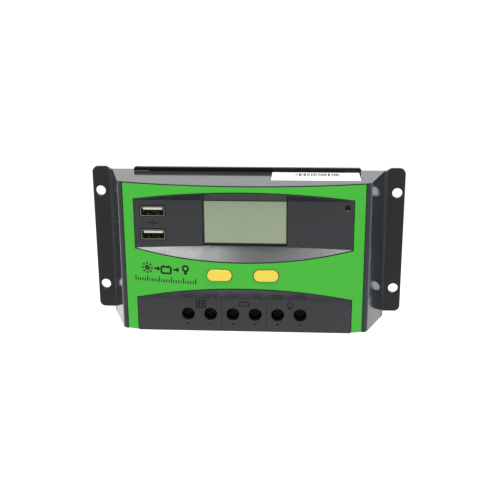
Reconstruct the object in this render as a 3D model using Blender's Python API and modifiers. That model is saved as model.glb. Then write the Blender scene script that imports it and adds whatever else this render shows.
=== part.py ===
"""Wall-mounted solar charge controller.

A moulded case with a bowed front is screwed onto a steel back plate, whose two
ears carry the wall holes.  Inside are the circuit boards, the display, two USB
sockets, two push buttons and a six-way terminal block with rising clamps.

Metres.  X runs to the right, Y into the wall and Z up.  The origin is the
centre of the back plate's rear face, so the front of the case points to -Y.
"""
import math

import bmesh
import bpy
from mathutils import Matrix, Vector

# ---------------------------------------------------------------- dimensions
GAP = 0.0003                    # between pieces that touch

PLATE_WIDTH = 0.188             # over the two ears
PLATE_HEIGHT = 0.090
PLATE_THICKNESS = 0.002
PLATE_INNER_HALF = 0.0820       # where each ear starts to rise above the case
PLATE_TOP = 0.0430              # plate's top edge behind the case
EAR_CORNER = 0.0035
EAR_RISE = 0.0035               # width of the slanted step up to an ear
WALL_HOLE_RADIUS = 0.0030
WALL_HOLE_X = 0.0895
WALL_HOLE_Z = 0.0300

CASE_DEPTH = 0.0470             # wall to the crown of the front
CASE_TOP = 0.0437
CASE_REAR_HALF = 0.0803
CASE_FRONT_HALF = 0.0714
CASE_FRONT_EDGE_Y = -0.0365     # the vertical edges at both ends of the front
CASE_BOTTOM_FRONT = -0.0452
CASE_BOTTOM_REAR = -0.0477
CASE_FLARE = 0.0023             # the sides spread by this towards the bottom
CASE_REAR_Y = -PLATE_THICKNESS - GAP
FRONT_BULGE = 0.0105
FRONT_RADIUS = (CASE_FRONT_HALF ** 2 + FRONT_BULGE ** 2) / (2 * FRONT_BULGE)
FRONT_SEGMENTS = 28
WALL = 0.0020
LIP_HALF = 0.0835               # rim round the rear edge of both sides
LIP_DEPTH = 0.0018
LIP_TAPER = 0.0003
CORNER_RADIUS = 0.0013

PANEL_Y = -0.0392               # flat bottoms of the two recesses
UPPER_HALF = 0.0616
UPPER_CEILING = 0.0335
UPPER_CEILING_SLOPE = 0.73      # rise per depth
UPPER_FLOOR_ENDS = 0.0055
UPPER_FLOOR_MIDDLE = 0.0070
UPPER_FLOOR_SLOPE = 0.92
LOWER_HALF = 0.0613
LOWER_CEILING = -0.0253
LOWER_CEILING_SLOPE = 1.10
RIM = 0.0005                    # edge of the case that shows round a recess

TRIM_HALF = 0.0685
TRIM_TOP = 0.0430
TRIM_BOTTOM = -0.0450
TRIM_THICKNESS = 0.0012
SEAT_DEPTH = TRIM_THICKNESS + GAP

RAIL_HALF = 0.0672              # heat spreader's edge above the case
RAIL_TOP = 0.0462
SPREADER_HALF = 0.0580
SPREADER_FRONT_Y = -0.0090
SPREADER_THICKNESS = 0.0030
SPREADER_BOTTOM = -0.0360

LABEL_LEFT, LABEL_RIGHT = 0.0153, 0.0659
LABEL_FRONT_Y, LABEL_REAR_Y = -0.0314, -0.0099
LABEL_THICKNESS = 0.0002

LCD_LEFT, LCD_RIGHT = -0.0227, 0.0245
LCD_BOTTOM, LCD_TOP = 0.0084, 0.0332
LCD_FRONT_Y = -0.0385
LCD_THICKNESS = 0.0022
WINDOW_BOTTOM = 0.0072

USB_X = -0.0514
USB_Z = {"upper": 0.02715, "lower": 0.01345}
USB_WIDTH, USB_HEIGHT = 0.0139, 0.0059
USB_LENGTH = 0.0140
USB_FRONT_Y = PANEL_Y - 0.0004
USB_WALL = 0.0005
USB_TONGUE = (0.0111, 0.00184)

LED_X, LED_Z = 0.05855, 0.02985
LED_SIZE = 0.0022

BUTTON_X = {"left": -0.0132, "right": 0.0132}
BUTTON_Z = -0.0081
BUTTON_LENGTH, BUTTON_HEIGHT = 0.0132, 0.0066
BUTTON_CLEARANCE = 0.0004
BUTTON_PROUD = 0.0006
BUTTON_TRAVEL = 0.0005
BUTTON_HOLE_DEPTHS = 0.038, 0.050       # of the cutter, measured from the wall

TERMINALS = 6
TERMINAL_PITCH = 0.01305
TERMINAL_Z = -0.0347
ACCESS_RADIUS = 0.0038

MAIN_BOARD_FRONT_Y = -0.0166
BOARD_THICKNESS = 0.0016
DISPLAY_BOARD_FRONT_Y = -0.0332
USB_BOARD_FRONT_Y = USB_FRONT_Y + USB_LENGTH + GAP

COVER_POST = (0.0660, 0.0365)   # X and Z of the four posts for the cover screws
COVER_POST_RADIUS = 0.0035
COVER_POST_ROOT_Y = -0.0352
COVER_BORE_RADIUS, COVER_BORE_END_Y = 0.0018, -0.0160
BOARD_POST_X = 0.0585
BOARD_POST_Z = (0.0372, -0.0370)
BOARD_POST_RADIUS = 0.0026
BOARD_POST_ROOT_Y = -0.0375
BOARD_BORE_RADIUS, BOARD_BORE_END_Y = 0.0016, -0.0260
BOARD_HOLE_RADIUS = 0.0017

# left, right, bottom and top of the three boards
MAIN_BOARD = (-0.0615, 0.0615, -0.0430, 0.0405)
DISPLAY_BOARD = (-0.0405, 0.0615, -0.0150, 0.0340)
USB_BOARD = (-0.0610, -0.0415, 0.0060, 0.0335)

CLEAR = 0.001                   # by which a cutter passes a surface it opens

ROUND = 20                      # sides of a plain round hole or boss

# ------------------------------------------------------------------ the scene
for old in list(bpy.data.objects):
    bpy.data.objects.remove(old, do_unlink=True)

parts = bpy.data.collections.new("charge_controller")
tools = bpy.data.collections.new("cutters")
for collection in (parts, tools):
    bpy.context.scene.collection.children.link(collection)


def material(name, colour, roughness, metallic=0.0):
    made = bpy.data.materials.new(name)
    made.use_nodes = True
    shader = made.node_tree.nodes["Principled BSDF"]
    shader.inputs["Base Color"].default_value = (*colour, 1.0)
    shader.inputs["Roughness"].default_value = roughness
    shader.inputs["Metallic"].default_value = metallic
    return made


def add(name, mesh, finish):
    """A piece of the controller: one object with its own copy of a finish."""
    piece = bpy.data.objects.new(name, mesh)
    parts.objects.link(piece)
    if not mesh.materials:
        mesh.materials.append(material(name, *finish))
    return piece


def guide(name, mesh):
    """A solid that only cuts or joins."""
    solid = bpy.data.objects.new(name, mesh)
    solid.display_type = "WIRE"
    solid.hide_render = True
    tools.objects.link(solid)
    return solid


def boolean(piece, other, operation="DIFFERENCE"):
    step = piece.modifiers.new(other.name, "BOOLEAN")
    step.operation = operation
    step.solver = "EXACT"
    step.object = other


def smooth(piece, angle=40.0):
    piece.data.shade_smooth()
    piece.data.set_sharp_from_angle(angle=math.radians(angle))


# ------------------------------------------------------------ mesh generators
FACING_WALL = Matrix.Rotation(math.pi / 2, 4, "X")      # (u, v, w) to (u, -w, v)
ALONG_X = Matrix(((0, 0, 1, 0), (1, 0, 0, 0), (0, 1, 0, 0), (0, 0, 0, 1)))


def boxes(name, corners):
    """A mesh of separate boxes, each given by its lowest and highest corner."""
    work = bmesh.new()
    for low, high in corners:
        low, high = Vector(low), Vector(high)
        place = Matrix.Translation((low + high) / 2) @ Matrix.Diagonal((*(high - low), 1))
        bmesh.ops.create_cube(work, size=1, matrix=place)
    return finished(name, work)


def rods(name, specs, sides=ROUND):
    """Round rods along Y: (x, z, radius, front y, rear y), or two radii for a cone."""
    work = bmesh.new()
    for x, z, radius, front, rear in specs:
        front_radius, rear_radius = radius if isinstance(radius, tuple) else (radius, radius)
        place = Matrix.Translation((x, (front + rear) / 2, z)) @ FACING_WALL
        bmesh.ops.create_cone(work, cap_ends=True, segments=sides, radius1=rear_radius,
                              radius2=front_radius, depth=rear - front, matrix=place)
    return finished(name, work)


def finished(name, work):
    mesh = bpy.data.meshes.new(name)
    work.to_mesh(mesh)
    work.free()
    return mesh


def slab(name, outlines, low, high, turn=Matrix.Identity(4)):
    """A flat outline, with its holes, from low to high along its own third axis."""
    curve = bpy.data.curves.new(name, "CURVE")
    curve.dimensions = "2D"
    curve.fill_mode = "BOTH"
    curve.extrude = (high - low) / 2
    for outline in outlines:
        spline = curve.splines.new("POLY")
        spline.points.add(len(outline) - 1)
        for point, (u, v) in zip(spline.points, outline):
            point.co = (u, v, 0, 1)
        spline.use_cyclic_u = True
    holder = bpy.data.objects.new(name, curve)
    bpy.context.scene.collection.objects.link(holder)
    evaluated = holder.evaluated_get(bpy.context.evaluated_depsgraph_get())
    work = bmesh.new()
    work.from_mesh(bpy.data.meshes.new_from_object(evaluated))
    bpy.data.objects.remove(holder, do_unlink=True)
    bpy.data.curves.remove(curve)
    bmesh.ops.remove_doubles(work, verts=work.verts, dist=0.000001)
    bmesh.ops.recalc_face_normals(work, faces=work.faces)
    shift = Matrix.Translation((0, 0, (low + high) / 2))
    bmesh.ops.transform(work, matrix=turn @ shift, verts=work.verts)
    return finished(name, work)


def rounded(points, radius, steps=4):
    """The corners of a polygon turned into arcs; radius is one value or one per corner."""
    radii = radius if isinstance(radius, (list, tuple)) else [radius] * len(points)
    result = []
    for index, (corner, size) in enumerate(zip(points, radii)):
        here = Vector(corner)
        if not size:
            result.append(corner)
            continue
        before = (Vector(points[index - 1]) - here).normalized()
        after = (Vector(points[(index + 1) % len(points)]) - here).normalized()
        half = before.angle(after) / 2
        centre = here + (before + after).normalized() * size / math.sin(half)
        start = here + before * size / math.tan(half) - centre
        end = here + after * size / math.tan(half) - centre
        for step in range(steps + 1):
            spoke = start.lerp(end, step / steps).normalized() * size
            result.append(tuple(centre + spoke))
    return result


def rectangle(left, right, bottom, top, radius=0.0, steps=3):
    corners = [(left, bottom), (right, bottom), (right, top), (left, top)]
    return rounded(corners, radius, steps) if radius else corners


def circle(x, y, radius, sides=ROUND):
    return [(x + radius * math.cos(math.tau * i / sides), y + radius * math.sin(math.tau * i / sides))
            for i in range(sides)]


def turned(name, profile, finish, x, front_y, z, steps=ROUND):
    """A turned piece on an axis along Y: profile is (radius, depth behind the front)."""
    mesh = bpy.data.meshes.new(name)
    mesh.from_pydata([(radius, 0, -depth) for radius, depth in profile],
                     [(i, i + 1) for i in range(len(profile) - 1)], [])
    piece = add(name, mesh, finish)
    piece.location = (x, front_y, z)
    piece.rotation_euler = (math.pi / 2, 0, 0)
    lathe = piece.modifiers.new("lathe", "SCREW")
    lathe.steps = lathe.render_steps = steps
    lathe.use_merge_vertices = True
    lathe.merge_threshold = 0.000001
    lathe.use_smooth_shade = False
    return piece


# ------------------------------------------------------------- finishes
BLACK_ABS = ((0.045, 0.050, 0.056), 0.35)
GREEN_GLOSS = ((0.075, 0.450, 0.050), 0.30)
BLACK_STEEL = ((0.012, 0.013, 0.014), 0.35, 0.4)
BLACK_ALLOY = ((0.015, 0.016, 0.018), 0.25, 0.6)
YELLOW_ABS = ((0.880, 0.680, 0.110), 0.40)
LCD_GLASS = ((0.350, 0.400, 0.280), 0.15)
BLACK_RESIN = ((0.010, 0.010, 0.010), 0.50)
BOARD_GREEN = ((0.010, 0.130, 0.050), 0.40)
NICKEL = ((0.700, 0.690, 0.670), 0.25, 1.0)
BRASS = ((0.780, 0.560, 0.220), 0.30, 1.0)
ZINC_STEEL = ((0.620, 0.630, 0.650), 0.30, 1.0)
COPPER = ((0.720, 0.350, 0.180), 0.30, 1.0)
PALE_RESIN = ((0.780, 0.780, 0.760), 0.45)
GREY_SILICONE = ((0.350, 0.360, 0.380), 0.80)
BLUE_SLEEVE = ((0.010, 0.030, 0.110), 0.35)
PAPER = ((0.850, 0.850, 0.850), 0.60)


# --------------------------------------------------------------- back plate
def make_back_plate():
    half, ear = PLATE_WIDTH / 2, PLATE_HEIGHT / 2
    rise = PLATE_INNER_HALF + EAR_RISE
    corners = [(-half, -ear), (half, -ear), (half, ear), (rise, ear), (PLATE_INNER_HALF, PLATE_TOP),
               (-PLATE_INNER_HALF, PLATE_TOP), (-rise, ear), (-half, ear)]
    outline = rounded(corners, [EAR_CORNER] * 3 + [0.0] * 4 + [EAR_CORNER])
    holes = [circle(x, z, WALL_HOLE_RADIUS)
             for x in (-WALL_HOLE_X, WALL_HOLE_X) for z in (-WALL_HOLE_Z, WALL_HOLE_Z)]
    plate = add("back_plate", slab("back_plate", [outline, *holes], 0, PLATE_THICKNESS, FACING_WALL),
                BLACK_STEEL)
    sinks = [(x, z, (0.0017, 0.0037), -PLATE_THICKNESS * 1.1, PLATE_THICKNESS * 0.1)
             for x in (-COVER_POST[0], COVER_POST[0]) for z in (-COVER_POST[1], COVER_POST[1])]
    boolean(plate, guide("countersinks", rods("countersinks", sinks)))


# --------------------------------------------------------------- front shell
def front_y(x, inset=0.0):
    """The bowed front at x, or the surface that lies inset behind it."""
    return FRONT_RADIUS - CASE_DEPTH - math.sqrt((FRONT_RADIUS - inset) ** 2 - x * x)


def side_x(y):
    """Half the width of the case at depth y, along its top."""
    share = (y - CASE_FRONT_EDGE_Y) / (-PLATE_THICKNESS - CASE_FRONT_EDGE_Y)
    return CASE_FRONT_HALF + share * (CASE_REAR_HALF - CASE_FRONT_HALF)


def bottom_z(y):
    share = max(0.0, (y - CASE_FRONT_EDGE_Y) / (-PLATE_THICKNESS - CASE_FRONT_EDGE_Y))
    return CASE_BOTTOM_FRONT + share * (CASE_BOTTOM_REAR - CASE_BOTTOM_FRONT)


def bow(half, inset, segments=FRONT_SEGMENTS):
    """Plan points along the bowed front from +half to -half."""
    spots = [half * (1 - 2 * i / segments) for i in range(segments + 1)]
    return [(x, front_y(x, inset)) for x in spots]


def case_solid(name, top, floor_lift, plan):
    """A plan outline raised to the case's top, spread and sloped towards its bottom."""
    mesh = slab(name, [plan], CASE_BOTTOM_FRONT, top)
    middle = (top + CASE_BOTTOM_FRONT) / 2
    for vertex in mesh.vertices:
        x, y, z = vertex.co
        if z < middle:
            spread = CASE_FLARE * max(0.0, (y - CASE_FRONT_EDGE_Y) / -CASE_FRONT_EDGE_Y)
            wide = min(abs(x) + spread, max(LIP_HALF, abs(x)))
            vertex.co = (math.copysign(wide, x), y, bottom_z(y) + floor_lift)
    return mesh


def recess(name, half, ceiling, floor, grow=0.0, rear=None):
    """The space of a recess, whose ceiling and floor spread towards the front.

    ceiling is (height at the panel, slope); floor is (height at the ends, height
    in the middle, slope).  grow moves every wall outwards.
    """
    rear = PANEL_Y + grow if rear is None else rear
    front = -CASE_DEPTH - 0.003
    top, rise = ceiling
    ends, crown, fall = floor
    half += grow
    spots = [half * (2 * i / 16 - 1) for i in range(17)]
    low = [(x, ends + (crown - ends) * math.cos(math.pi / 2 * x / half)) for x in spots]
    mesh = slab(name, [low + [(half, top), (-half, top)]], -rear, -front, FACING_WALL)
    for vertex in mesh.vertices:
        ahead = PANEL_Y - vertex.co.y
        if vertex.co.z > top - 0.0001:
            vertex.co.z += rise * ahead + grow * math.hypot(1, rise)
        else:
            vertex.co.z -= fall * ahead + grow * math.hypot(1, fall)
    return mesh


def upper_recess(name, **extra):
    return recess(name, UPPER_HALF, (UPPER_CEILING, UPPER_CEILING_SLOPE),
                  (UPPER_FLOOR_ENDS, UPPER_FLOOR_MIDDLE, UPPER_FLOOR_SLOPE), **extra)


def lower_recess(name, **extra):
    below = CASE_BOTTOM_REAR - 0.010
    return recess(name, LOWER_HALF, (LOWER_CEILING, LOWER_CEILING_SLOPE), (below, below, 0.0), **extra)


def trim_layer(name, outer, inner, half, low, high):
    """A curved layer between two insets of the bowed front."""
    return slab(name, [bow(half, outer) + bow(half, inner)[::-1]], low, high)


def stadium(x, z, length, height, grow=0.0):
    radius = height / 2 + grow
    reach = length / 2 + grow
    return rectangle(x - reach, x + reach, z - radius, z + radius, radius * 0.9999, steps=6)


def make_front_shell():
    rear = CASE_REAR_Y
    lip_front = rear - LIP_DEPTH
    right = [(LIP_HALF, rear), (LIP_HALF, lip_front + LIP_TAPER), (side_x(lip_front), lip_front)]
    corner = rounded([right[-1], (CASE_FRONT_HALF, front_y(CASE_FRONT_HALF)),
                      (CASE_FRONT_HALF - 0.004, front_y(CASE_FRONT_HALF - 0.004))],
                     [0, CORNER_RADIUS, 0], steps=3)[1:-1]
    half_plan = right + corner
    crown = bow(CASE_FRONT_HALF - 0.004, 0.0)
    left = [(-x, y) for x, y in reversed(half_plan)]
    case = add("front_shell", case_solid("front_shell", CASE_TOP, 0.0, half_plan + crown + left), BLACK_ABS)

    inset = SEAT_DEPTH + WALL
    inner_half = side_x(front_y(CASE_FRONT_HALF, inset)) - WALL
    open_y = 0.002
    plan = [(side_x(open_y) - WALL, open_y), *bow(inner_half, inset), (WALL - side_x(open_y), open_y)]
    cavity = guide("cavity", case_solid("cavity", CASE_TOP - WALL, WALL, plan))
    boolean(cavity, guide("upper_wall", upper_recess("upper_wall", grow=WALL)))
    boolean(cavity, guide("lower_wall", lower_recess("lower_wall", grow=WALL)))
    boolean(case, cavity)
    boolean(case, guide("upper_recess", upper_recess("upper_recess")))
    boolean(case, guide("lower_recess", lower_recess("lower_recess")))

    seat = guide("trim_seat", trim_layer("trim_seat", -0.002, SEAT_DEPTH, TRIM_HALF + GAP,
                                         CASE_BOTTOM_REAR - 0.002, TRIM_TOP + GAP))
    behind = PANEL_Y + 0.010
    boolean(seat, guide("upper_rim", upper_recess("upper_rim", grow=RIM, rear=behind)))
    boolean(seat, guide("lower_rim", lower_recess("lower_rim", grow=RIM, rear=behind)))
    boolean(case, seat)

    posts, bores = [], []
    for side in (-1, 1):
        for z in (-COVER_POST[1], COVER_POST[1]):
            spot = (side * COVER_POST[0], z)
            posts.append((*spot, COVER_POST_RADIUS, COVER_POST_ROOT_Y, rear))
            bores.append((*spot, COVER_BORE_RADIUS, COVER_BORE_END_Y, rear + CLEAR))
        for z in BOARD_POST_Z:
            spot = (side * BOARD_POST_X, z)
            posts.append((*spot, BOARD_POST_RADIUS, BOARD_POST_ROOT_Y, MAIN_BOARD_FRONT_Y - GAP))
            bores.append((*spot, BOARD_BORE_RADIUS, BOARD_BORE_END_Y, MAIN_BOARD_FRONT_Y + CLEAR))
    boolean(case, guide("posts", rods("posts", posts, sides=12)), "UNION")
    boolean(case, guide("post_bores", rods("post_bores", bores, sides=10)))

    deep = PANEL_Y - CLEAR
    back = PANEL_Y + WALL + CLEAR
    holes = [((LCD_LEFT - GAP, deep, WINDOW_BOTTOM), (LCD_RIGHT + GAP, back, LCD_TOP + GAP))]
    for z in USB_Z.values():
        holes.append(((USB_X - USB_WIDTH / 2 - GAP, deep, z - USB_HEIGHT / 2 - GAP),
                      (USB_X + USB_WIDTH / 2 + GAP, back, z + USB_HEIGHT / 2 + GAP)))
    reach = LED_SIZE / 2 + GAP
    holes.append(((LED_X - reach, deep, LED_Z - reach), (LED_X + reach, PANEL_Y + 0.006, LED_Z + reach)))
    block = TERMINALS * TERMINAL_PITCH / 2 + 0.0009
    holes.append(((-block, -0.0370, -0.0500), (block, -0.0166, -0.0420)))
    slot = SPREADER_HALF + GAP
    holes.append(((-slot, SPREADER_FRONT_Y - GAP, CASE_TOP - 0.004),
                  (slot, SPREADER_FRONT_Y + SPREADER_THICKNESS + GAP, CASE_TOP + 0.001)))
    holes.append(((LABEL_LEFT - GAP, LABEL_FRONT_Y - GAP, CASE_TOP - 0.0004),
                  (LABEL_RIGHT + GAP, LABEL_REAR_Y + GAP, CASE_TOP + 0.001)))
    boolean(case, guide("square_holes", boxes("square_holes", holes)))
    access = [(x, TERMINAL_Z, ACCESS_RADIUS, deep, back) for x in terminal_places()]
    boolean(case, guide("access_holes", rods("access_holes", access, sides=24)))
    for side, x in BUTTON_X.items():
        boolean(case, guide(f"button_hole_{side}", button_hole(side, x)))


def button_hole(side, x):
    outline = stadium(x, BUTTON_Z, BUTTON_LENGTH, BUTTON_HEIGHT, BUTTON_CLEARANCE)
    return slab(f"button_hole_{side}", [outline], *BUTTON_HOLE_DEPTHS, FACING_WALL)


def make_face_trim():
    trim = add("face_trim", trim_layer("face_trim", 0.0, TRIM_THICKNESS, TRIM_HALF, TRIM_BOTTOM, TRIM_TOP),
               GREEN_GLOSS)
    behind = PANEL_Y + 0.010
    around = RIM + GAP
    boolean(trim, guide("trim_window", upper_recess("trim_window", grow=around, rear=behind)))
    boolean(trim, guide("trim_terminals", lower_recess("trim_terminals", grow=around, rear=behind)))
    for side, x in BUTTON_X.items():
        boolean(trim, guide(f"trim_hole_{side}", button_hole(side, x)))


def make_label():
    top = CASE_TOP + 0.0001
    add("rating_label", boxes("rating_label", [((LABEL_LEFT, LABEL_FRONT_Y, top - LABEL_THICKNESS),
                                                (LABEL_RIGHT, LABEL_REAR_Y, top))]), PAPER)


# ------------------------------------------------------- fasteners
def screw_profile(head_radius, head_height, shank_radius, length, countersunk=False):
    """Half section of a screw, from the middle of its head to its tip."""
    under = shank_radius if countersunk else head_radius
    return [(0, 0), (head_radius, 0), (under, head_height), (shank_radius, head_height + 0.00001),
            (shank_radius, head_height + length), (0, head_height + length)]


def drive_cross(name, x, front, z, width, depth, turn=1):
    """A cross recess in a head; turn is -1 where the head faces the wall."""
    arm, half = width / 2, width / 8
    tip = 0.8 * half
    corner = [(arm, tip), (half, half), (tip, arm)]
    cross = []
    for quarter in range(4):
        spin = Matrix.Rotation(quarter * math.pi / 2, 2)
        cross += [tuple(spin @ Vector(point) + Vector((x, z))) for point in corner]
    near, far = sorted((-front - turn * depth, -front + turn * 0.001))
    return guide(name, slab(name, [cross], near, far, FACING_WALL))


def make_case_screws():
    """Four countersunk screws hold the case; four pan heads hold the main board."""
    number = 0
    for x in (-COVER_POST[0], COVER_POST[0]):
        for z in (-COVER_POST[1], COVER_POST[1]):
            number += 1
            profile = screw_profile(0.0030, 0.0015, 0.0014, 0.010, countersunk=True)
            screw = turned(f"cover_screw_{number}", profile, ZINC_STEEL, x, -0.0003, z, steps=14)
            screw.rotation_euler = (-math.pi / 2, 0, 0)
            boolean(screw, drive_cross(f"cover_drive_{number}", x, -0.0003, z, 0.0034, 0.0009, turn=-1))
    number = 0
    rear = MAIN_BOARD_FRONT_Y + BOARD_THICKNESS
    for x in (-BOARD_POST_X, BOARD_POST_X):
        for z in BOARD_POST_Z:
            number += 1
            profile = screw_profile(0.0026, 0.0018, 0.0013, 0.008)
            front = rear + GAP + 0.0018
            screw = turned(f"board_screw_{number}", profile, ZINC_STEEL, x, front, z, steps=14)
            screw.rotation_euler = (-math.pi / 2, 0, 0)
            boolean(screw, drive_cross(f"board_drive_{number}", x, front, z, 0.0030, 0.0009, turn=-1))


# ------------------------------------------------------- heat path
def make_heat_spreader():
    """An aluminium plate behind the boards; its edge stands out of the case's top."""
    low = SPREADER_BOTTOM
    shoulder = CASE_TOP + GAP
    corners = [(-SPREADER_HALF, low), (SPREADER_HALF, low), (SPREADER_HALF, shoulder),
               (RAIL_HALF, shoulder), (RAIL_HALF, RAIL_TOP), (-RAIL_HALF, RAIL_TOP),
               (-RAIL_HALF, shoulder), (-SPREADER_HALF, shoulder)]
    outline = rounded(corners, [0.003, 0.003, 0, 0, 0.0012, 0.0012, 0, 0])
    front = -SPREADER_FRONT_Y
    add("heat_spreader", slab("heat_spreader", [outline], front - SPREADER_THICKNESS, front, FACING_WALL),
        BLACK_ALLOY)
    pad = rectangle(-0.050, 0.050, -0.024, 0.002, 0.001)
    pad_front = front + GAP + 0.0005
    add("insulating_pad", slab("insulating_pad", [pad], front + GAP, pad_front, FACING_WALL), GREY_SILICONE)
    return -pad_front - GAP


MOSFET_X = (-0.0390, -0.0130, 0.0130, 0.0390)
MOSFET_HALF_WIDTH = 0.0050
MOSFET_TAB, MOSFET_BODY = 0.0013, 0.0043        # thicknesses
MOSFET_TOP, MOSFET_SHOULDER, MOSFET_FOOT = 0.0000, -0.0065, -0.0155
LEG_X, LEG_HALF = (-0.00254, 0, 0.00254), 0.0004
LEG_BOTTOM, LEG_TOP = -0.0185, -0.0178
LEG_DEPTHS = 0.0029, 0.0022                     # ahead of the tab's rear face
TAB_HOLE_RADIUS, TAB_HOLE_Z = 0.0018, -0.0035


def make_mosfets(rear):
    """Four power transistors lie flat on the pad, with three legs up to the board."""
    side = [(rear, MOSFET_SHOULDER), (rear, MOSFET_TOP), (rear - MOSFET_TAB, MOSFET_TOP),
            (rear - MOSFET_TAB, MOSFET_SHOULDER), (rear - MOSFET_BODY, MOSFET_SHOULDER - 0.0005),
            (rear - MOSFET_BODY, MOSFET_FOOT), (rear, MOSFET_FOOT)]
    body = slab("mosfet_1", [side], -MOSFET_HALF_WIDTH, MOSFET_HALF_WIDTH, ALONG_X)
    board = MAIN_BOARD_FRONT_Y + BOARD_THICKNESS + GAP
    front, behind = (rear - depth for depth in LEG_DEPTHS)
    legs = [((x - LEG_HALF, board, LEG_BOTTOM), (x + LEG_HALF, behind, LEG_TOP)) for x in LEG_X]
    runs = [((x - LEG_HALF, front, LEG_BOTTOM), (x + LEG_HALF, behind, MOSFET_FOOT + 0.0005)) for x in LEG_X]
    for number, x in enumerate(MOSFET_X, start=1):
        piece = add(f"mosfet_{number}", body, BLACK_RESIN)
        piece.location.x = x
        for word, spans in (("legs", legs), ("runs", runs)):
            name = f"mosfet_{word}_{number}"
            join = guide(name, boxes(name, spans))
            join.location.x = x
            boolean(piece, join, "UNION")
        hole = rods(f"tab_hole_{number}", [(x, TAB_HOLE_Z, TAB_HOLE_RADIUS, rear - MOSFET_TAB - CLEAR,
                                            rear + CLEAR)], sides=12)
        boolean(piece, guide(f"tab_hole_{number}", hole))


# ------------------------------------------------------- boards
def make_boards():
    """The main board on its four posts, the display board and the USB board."""
    screw_holes = [circle(x, z, BOARD_HOLE_RADIUS, 12)
                   for x in (-BOARD_POST_X, BOARD_POST_X) for z in BOARD_POST_Z]
    main = slab("main_board", [rectangle(*MAIN_BOARD, 0.0015), *screw_holes],
                -MAIN_BOARD_FRONT_Y - BOARD_THICKNESS, -MAIN_BOARD_FRONT_Y, FACING_WALL)
    add("main_board", main, BOARD_GREEN)
    display = slab("display_board", [rectangle(*DISPLAY_BOARD, 0.0010)],
                   -DISPLAY_BOARD_FRONT_Y - BOARD_THICKNESS, -DISPLAY_BOARD_FRONT_Y, FACING_WALL)
    add("display_board", display, BOARD_GREEN)
    usb = slab("usb_board", [rectangle(*USB_BOARD, 0.0010)],
               -USB_BOARD_FRONT_Y - BOARD_THICKNESS, -USB_BOARD_FRONT_Y, FACING_WALL)
    add("usb_board", usb, BOARD_GREEN)

    front = MAIN_BOARD_FRONT_Y - GAP
    back = DISPLAY_BOARD_FRONT_Y + BOARD_THICKNESS + GAP
    add("display_header", boxes("display_header", [((-0.0125, back, -0.0100), (0.0125, front, -0.0075))]),
        BLACK_RESIN)
    back = USB_BOARD_FRONT_Y + BOARD_THICKNESS + GAP
    add("usb_header", boxes("usb_header", [((-0.0560, back, 0.0195), (-0.0470, front, 0.0220))]), BLACK_RESIN)

    chip = slab("microcontroller", [rectangle(-0.0060, 0.0060, 0.0100, 0.0220, 0.0006, steps=1)],
                -front, -front + 0.0016, FACING_WALL)
    add("microcontroller", chip, BLACK_RESIN)


def make_components():
    """Two capacitors, a choke and a current shunt."""
    board = MAIN_BOARD_FRONT_Y - GAP
    tall = 0.0130
    can = [(0, 0), (0.0052, 0), (0.0060, 0.0008), (0.0060, tall - 0.0026), (0.0056, tall - 0.0022),
           (0.0056, tall - 0.0018), (0.0060, tall - 0.0014), (0.0060, tall), (0, tall)]
    for number, z in enumerate((0.0190, 0.0040), start=1):
        turned(f"capacitor_{number}", can, BLUE_SLEEVE, 0.0520, board - tall, z)

    work = bmesh.new()
    ring = bmesh.ops.create_circle(work, cap_ends=False, radius=0.0024, segments=10)
    bmesh.ops.transform(work, verts=ring["verts"],
                        matrix=Matrix.Translation((0.0062, 0, 0)) @ Matrix.Rotation(math.pi / 2, 4, "X"))
    bmesh.ops.spin(work, geom=list(work.verts) + list(work.edges), axis=(0, 0, 1), cent=(0, 0, 0),
                   angle=math.tau, steps=18, use_merge=True)
    bmesh.ops.remove_doubles(work, verts=work.verts, dist=0.000001)
    bmesh.ops.recalc_face_normals(work, faces=work.faces)
    choke = add("choke", finished("choke", work), COPPER)
    choke.location = (0.0510, board - 0.0025, -0.0125)
    choke.rotation_euler = (math.pi / 2, 0, 0)

    foot, span, rise, sheet = 0.0030, 0.0160, 0.0060, 0.0012
    strap = [(-span / 2 - foot, board), (-span / 2 - foot, board - sheet), (-span / 2, board - sheet),
             (-span / 2, board - rise), (span / 2, board - rise), (span / 2, board - sheet),
             (span / 2 + foot, board - sheet), (span / 2 + foot, board), (span / 2 - sheet, board),
             (span / 2 - sheet, board - rise + sheet), (sheet - span / 2, board - rise + sheet),
             (sheet - span / 2, board)]
    add("current_shunt", slab("current_shunt", [strap], -0.0230, -0.0190), COPPER)


# ------------------------------------------------------- display and sockets
def make_display():
    """The liquid crystal cell in its tray, and the status lamp."""
    add("lcd_glass", boxes("lcd_glass", [((LCD_LEFT, LCD_FRONT_Y, LCD_BOTTOM),
                                          (LCD_RIGHT, LCD_FRONT_Y + LCD_THICKNESS, LCD_TOP))]), LCD_GLASS)
    front = PANEL_Y + WALL + GAP
    rear = DISPLAY_BOARD_FRONT_Y - GAP
    tray = add("lcd_tray", boxes("lcd_tray", [((LCD_LEFT - 0.0035, front, 0.0055),
                                               (LCD_RIGHT + 0.0035, rear, 0.0365))]), BLACK_RESIN)
    pocket = boxes("lcd_pocket", [((LCD_LEFT - GAP, front - 0.001, LCD_BOTTOM - GAP),
                                   (LCD_RIGHT + GAP, LCD_FRONT_Y + LCD_THICKNESS + GAP, LCD_TOP + GAP))])
    boolean(tray, guide("lcd_pocket", pocket))
    half = LED_SIZE / 2
    add("status_lamp", boxes("status_lamp", [((LED_X - half, PANEL_Y + 0.0010, LED_Z - half),
                                              (LED_X + half, rear, LED_Z + half))]), BLACK_RESIN)


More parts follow.
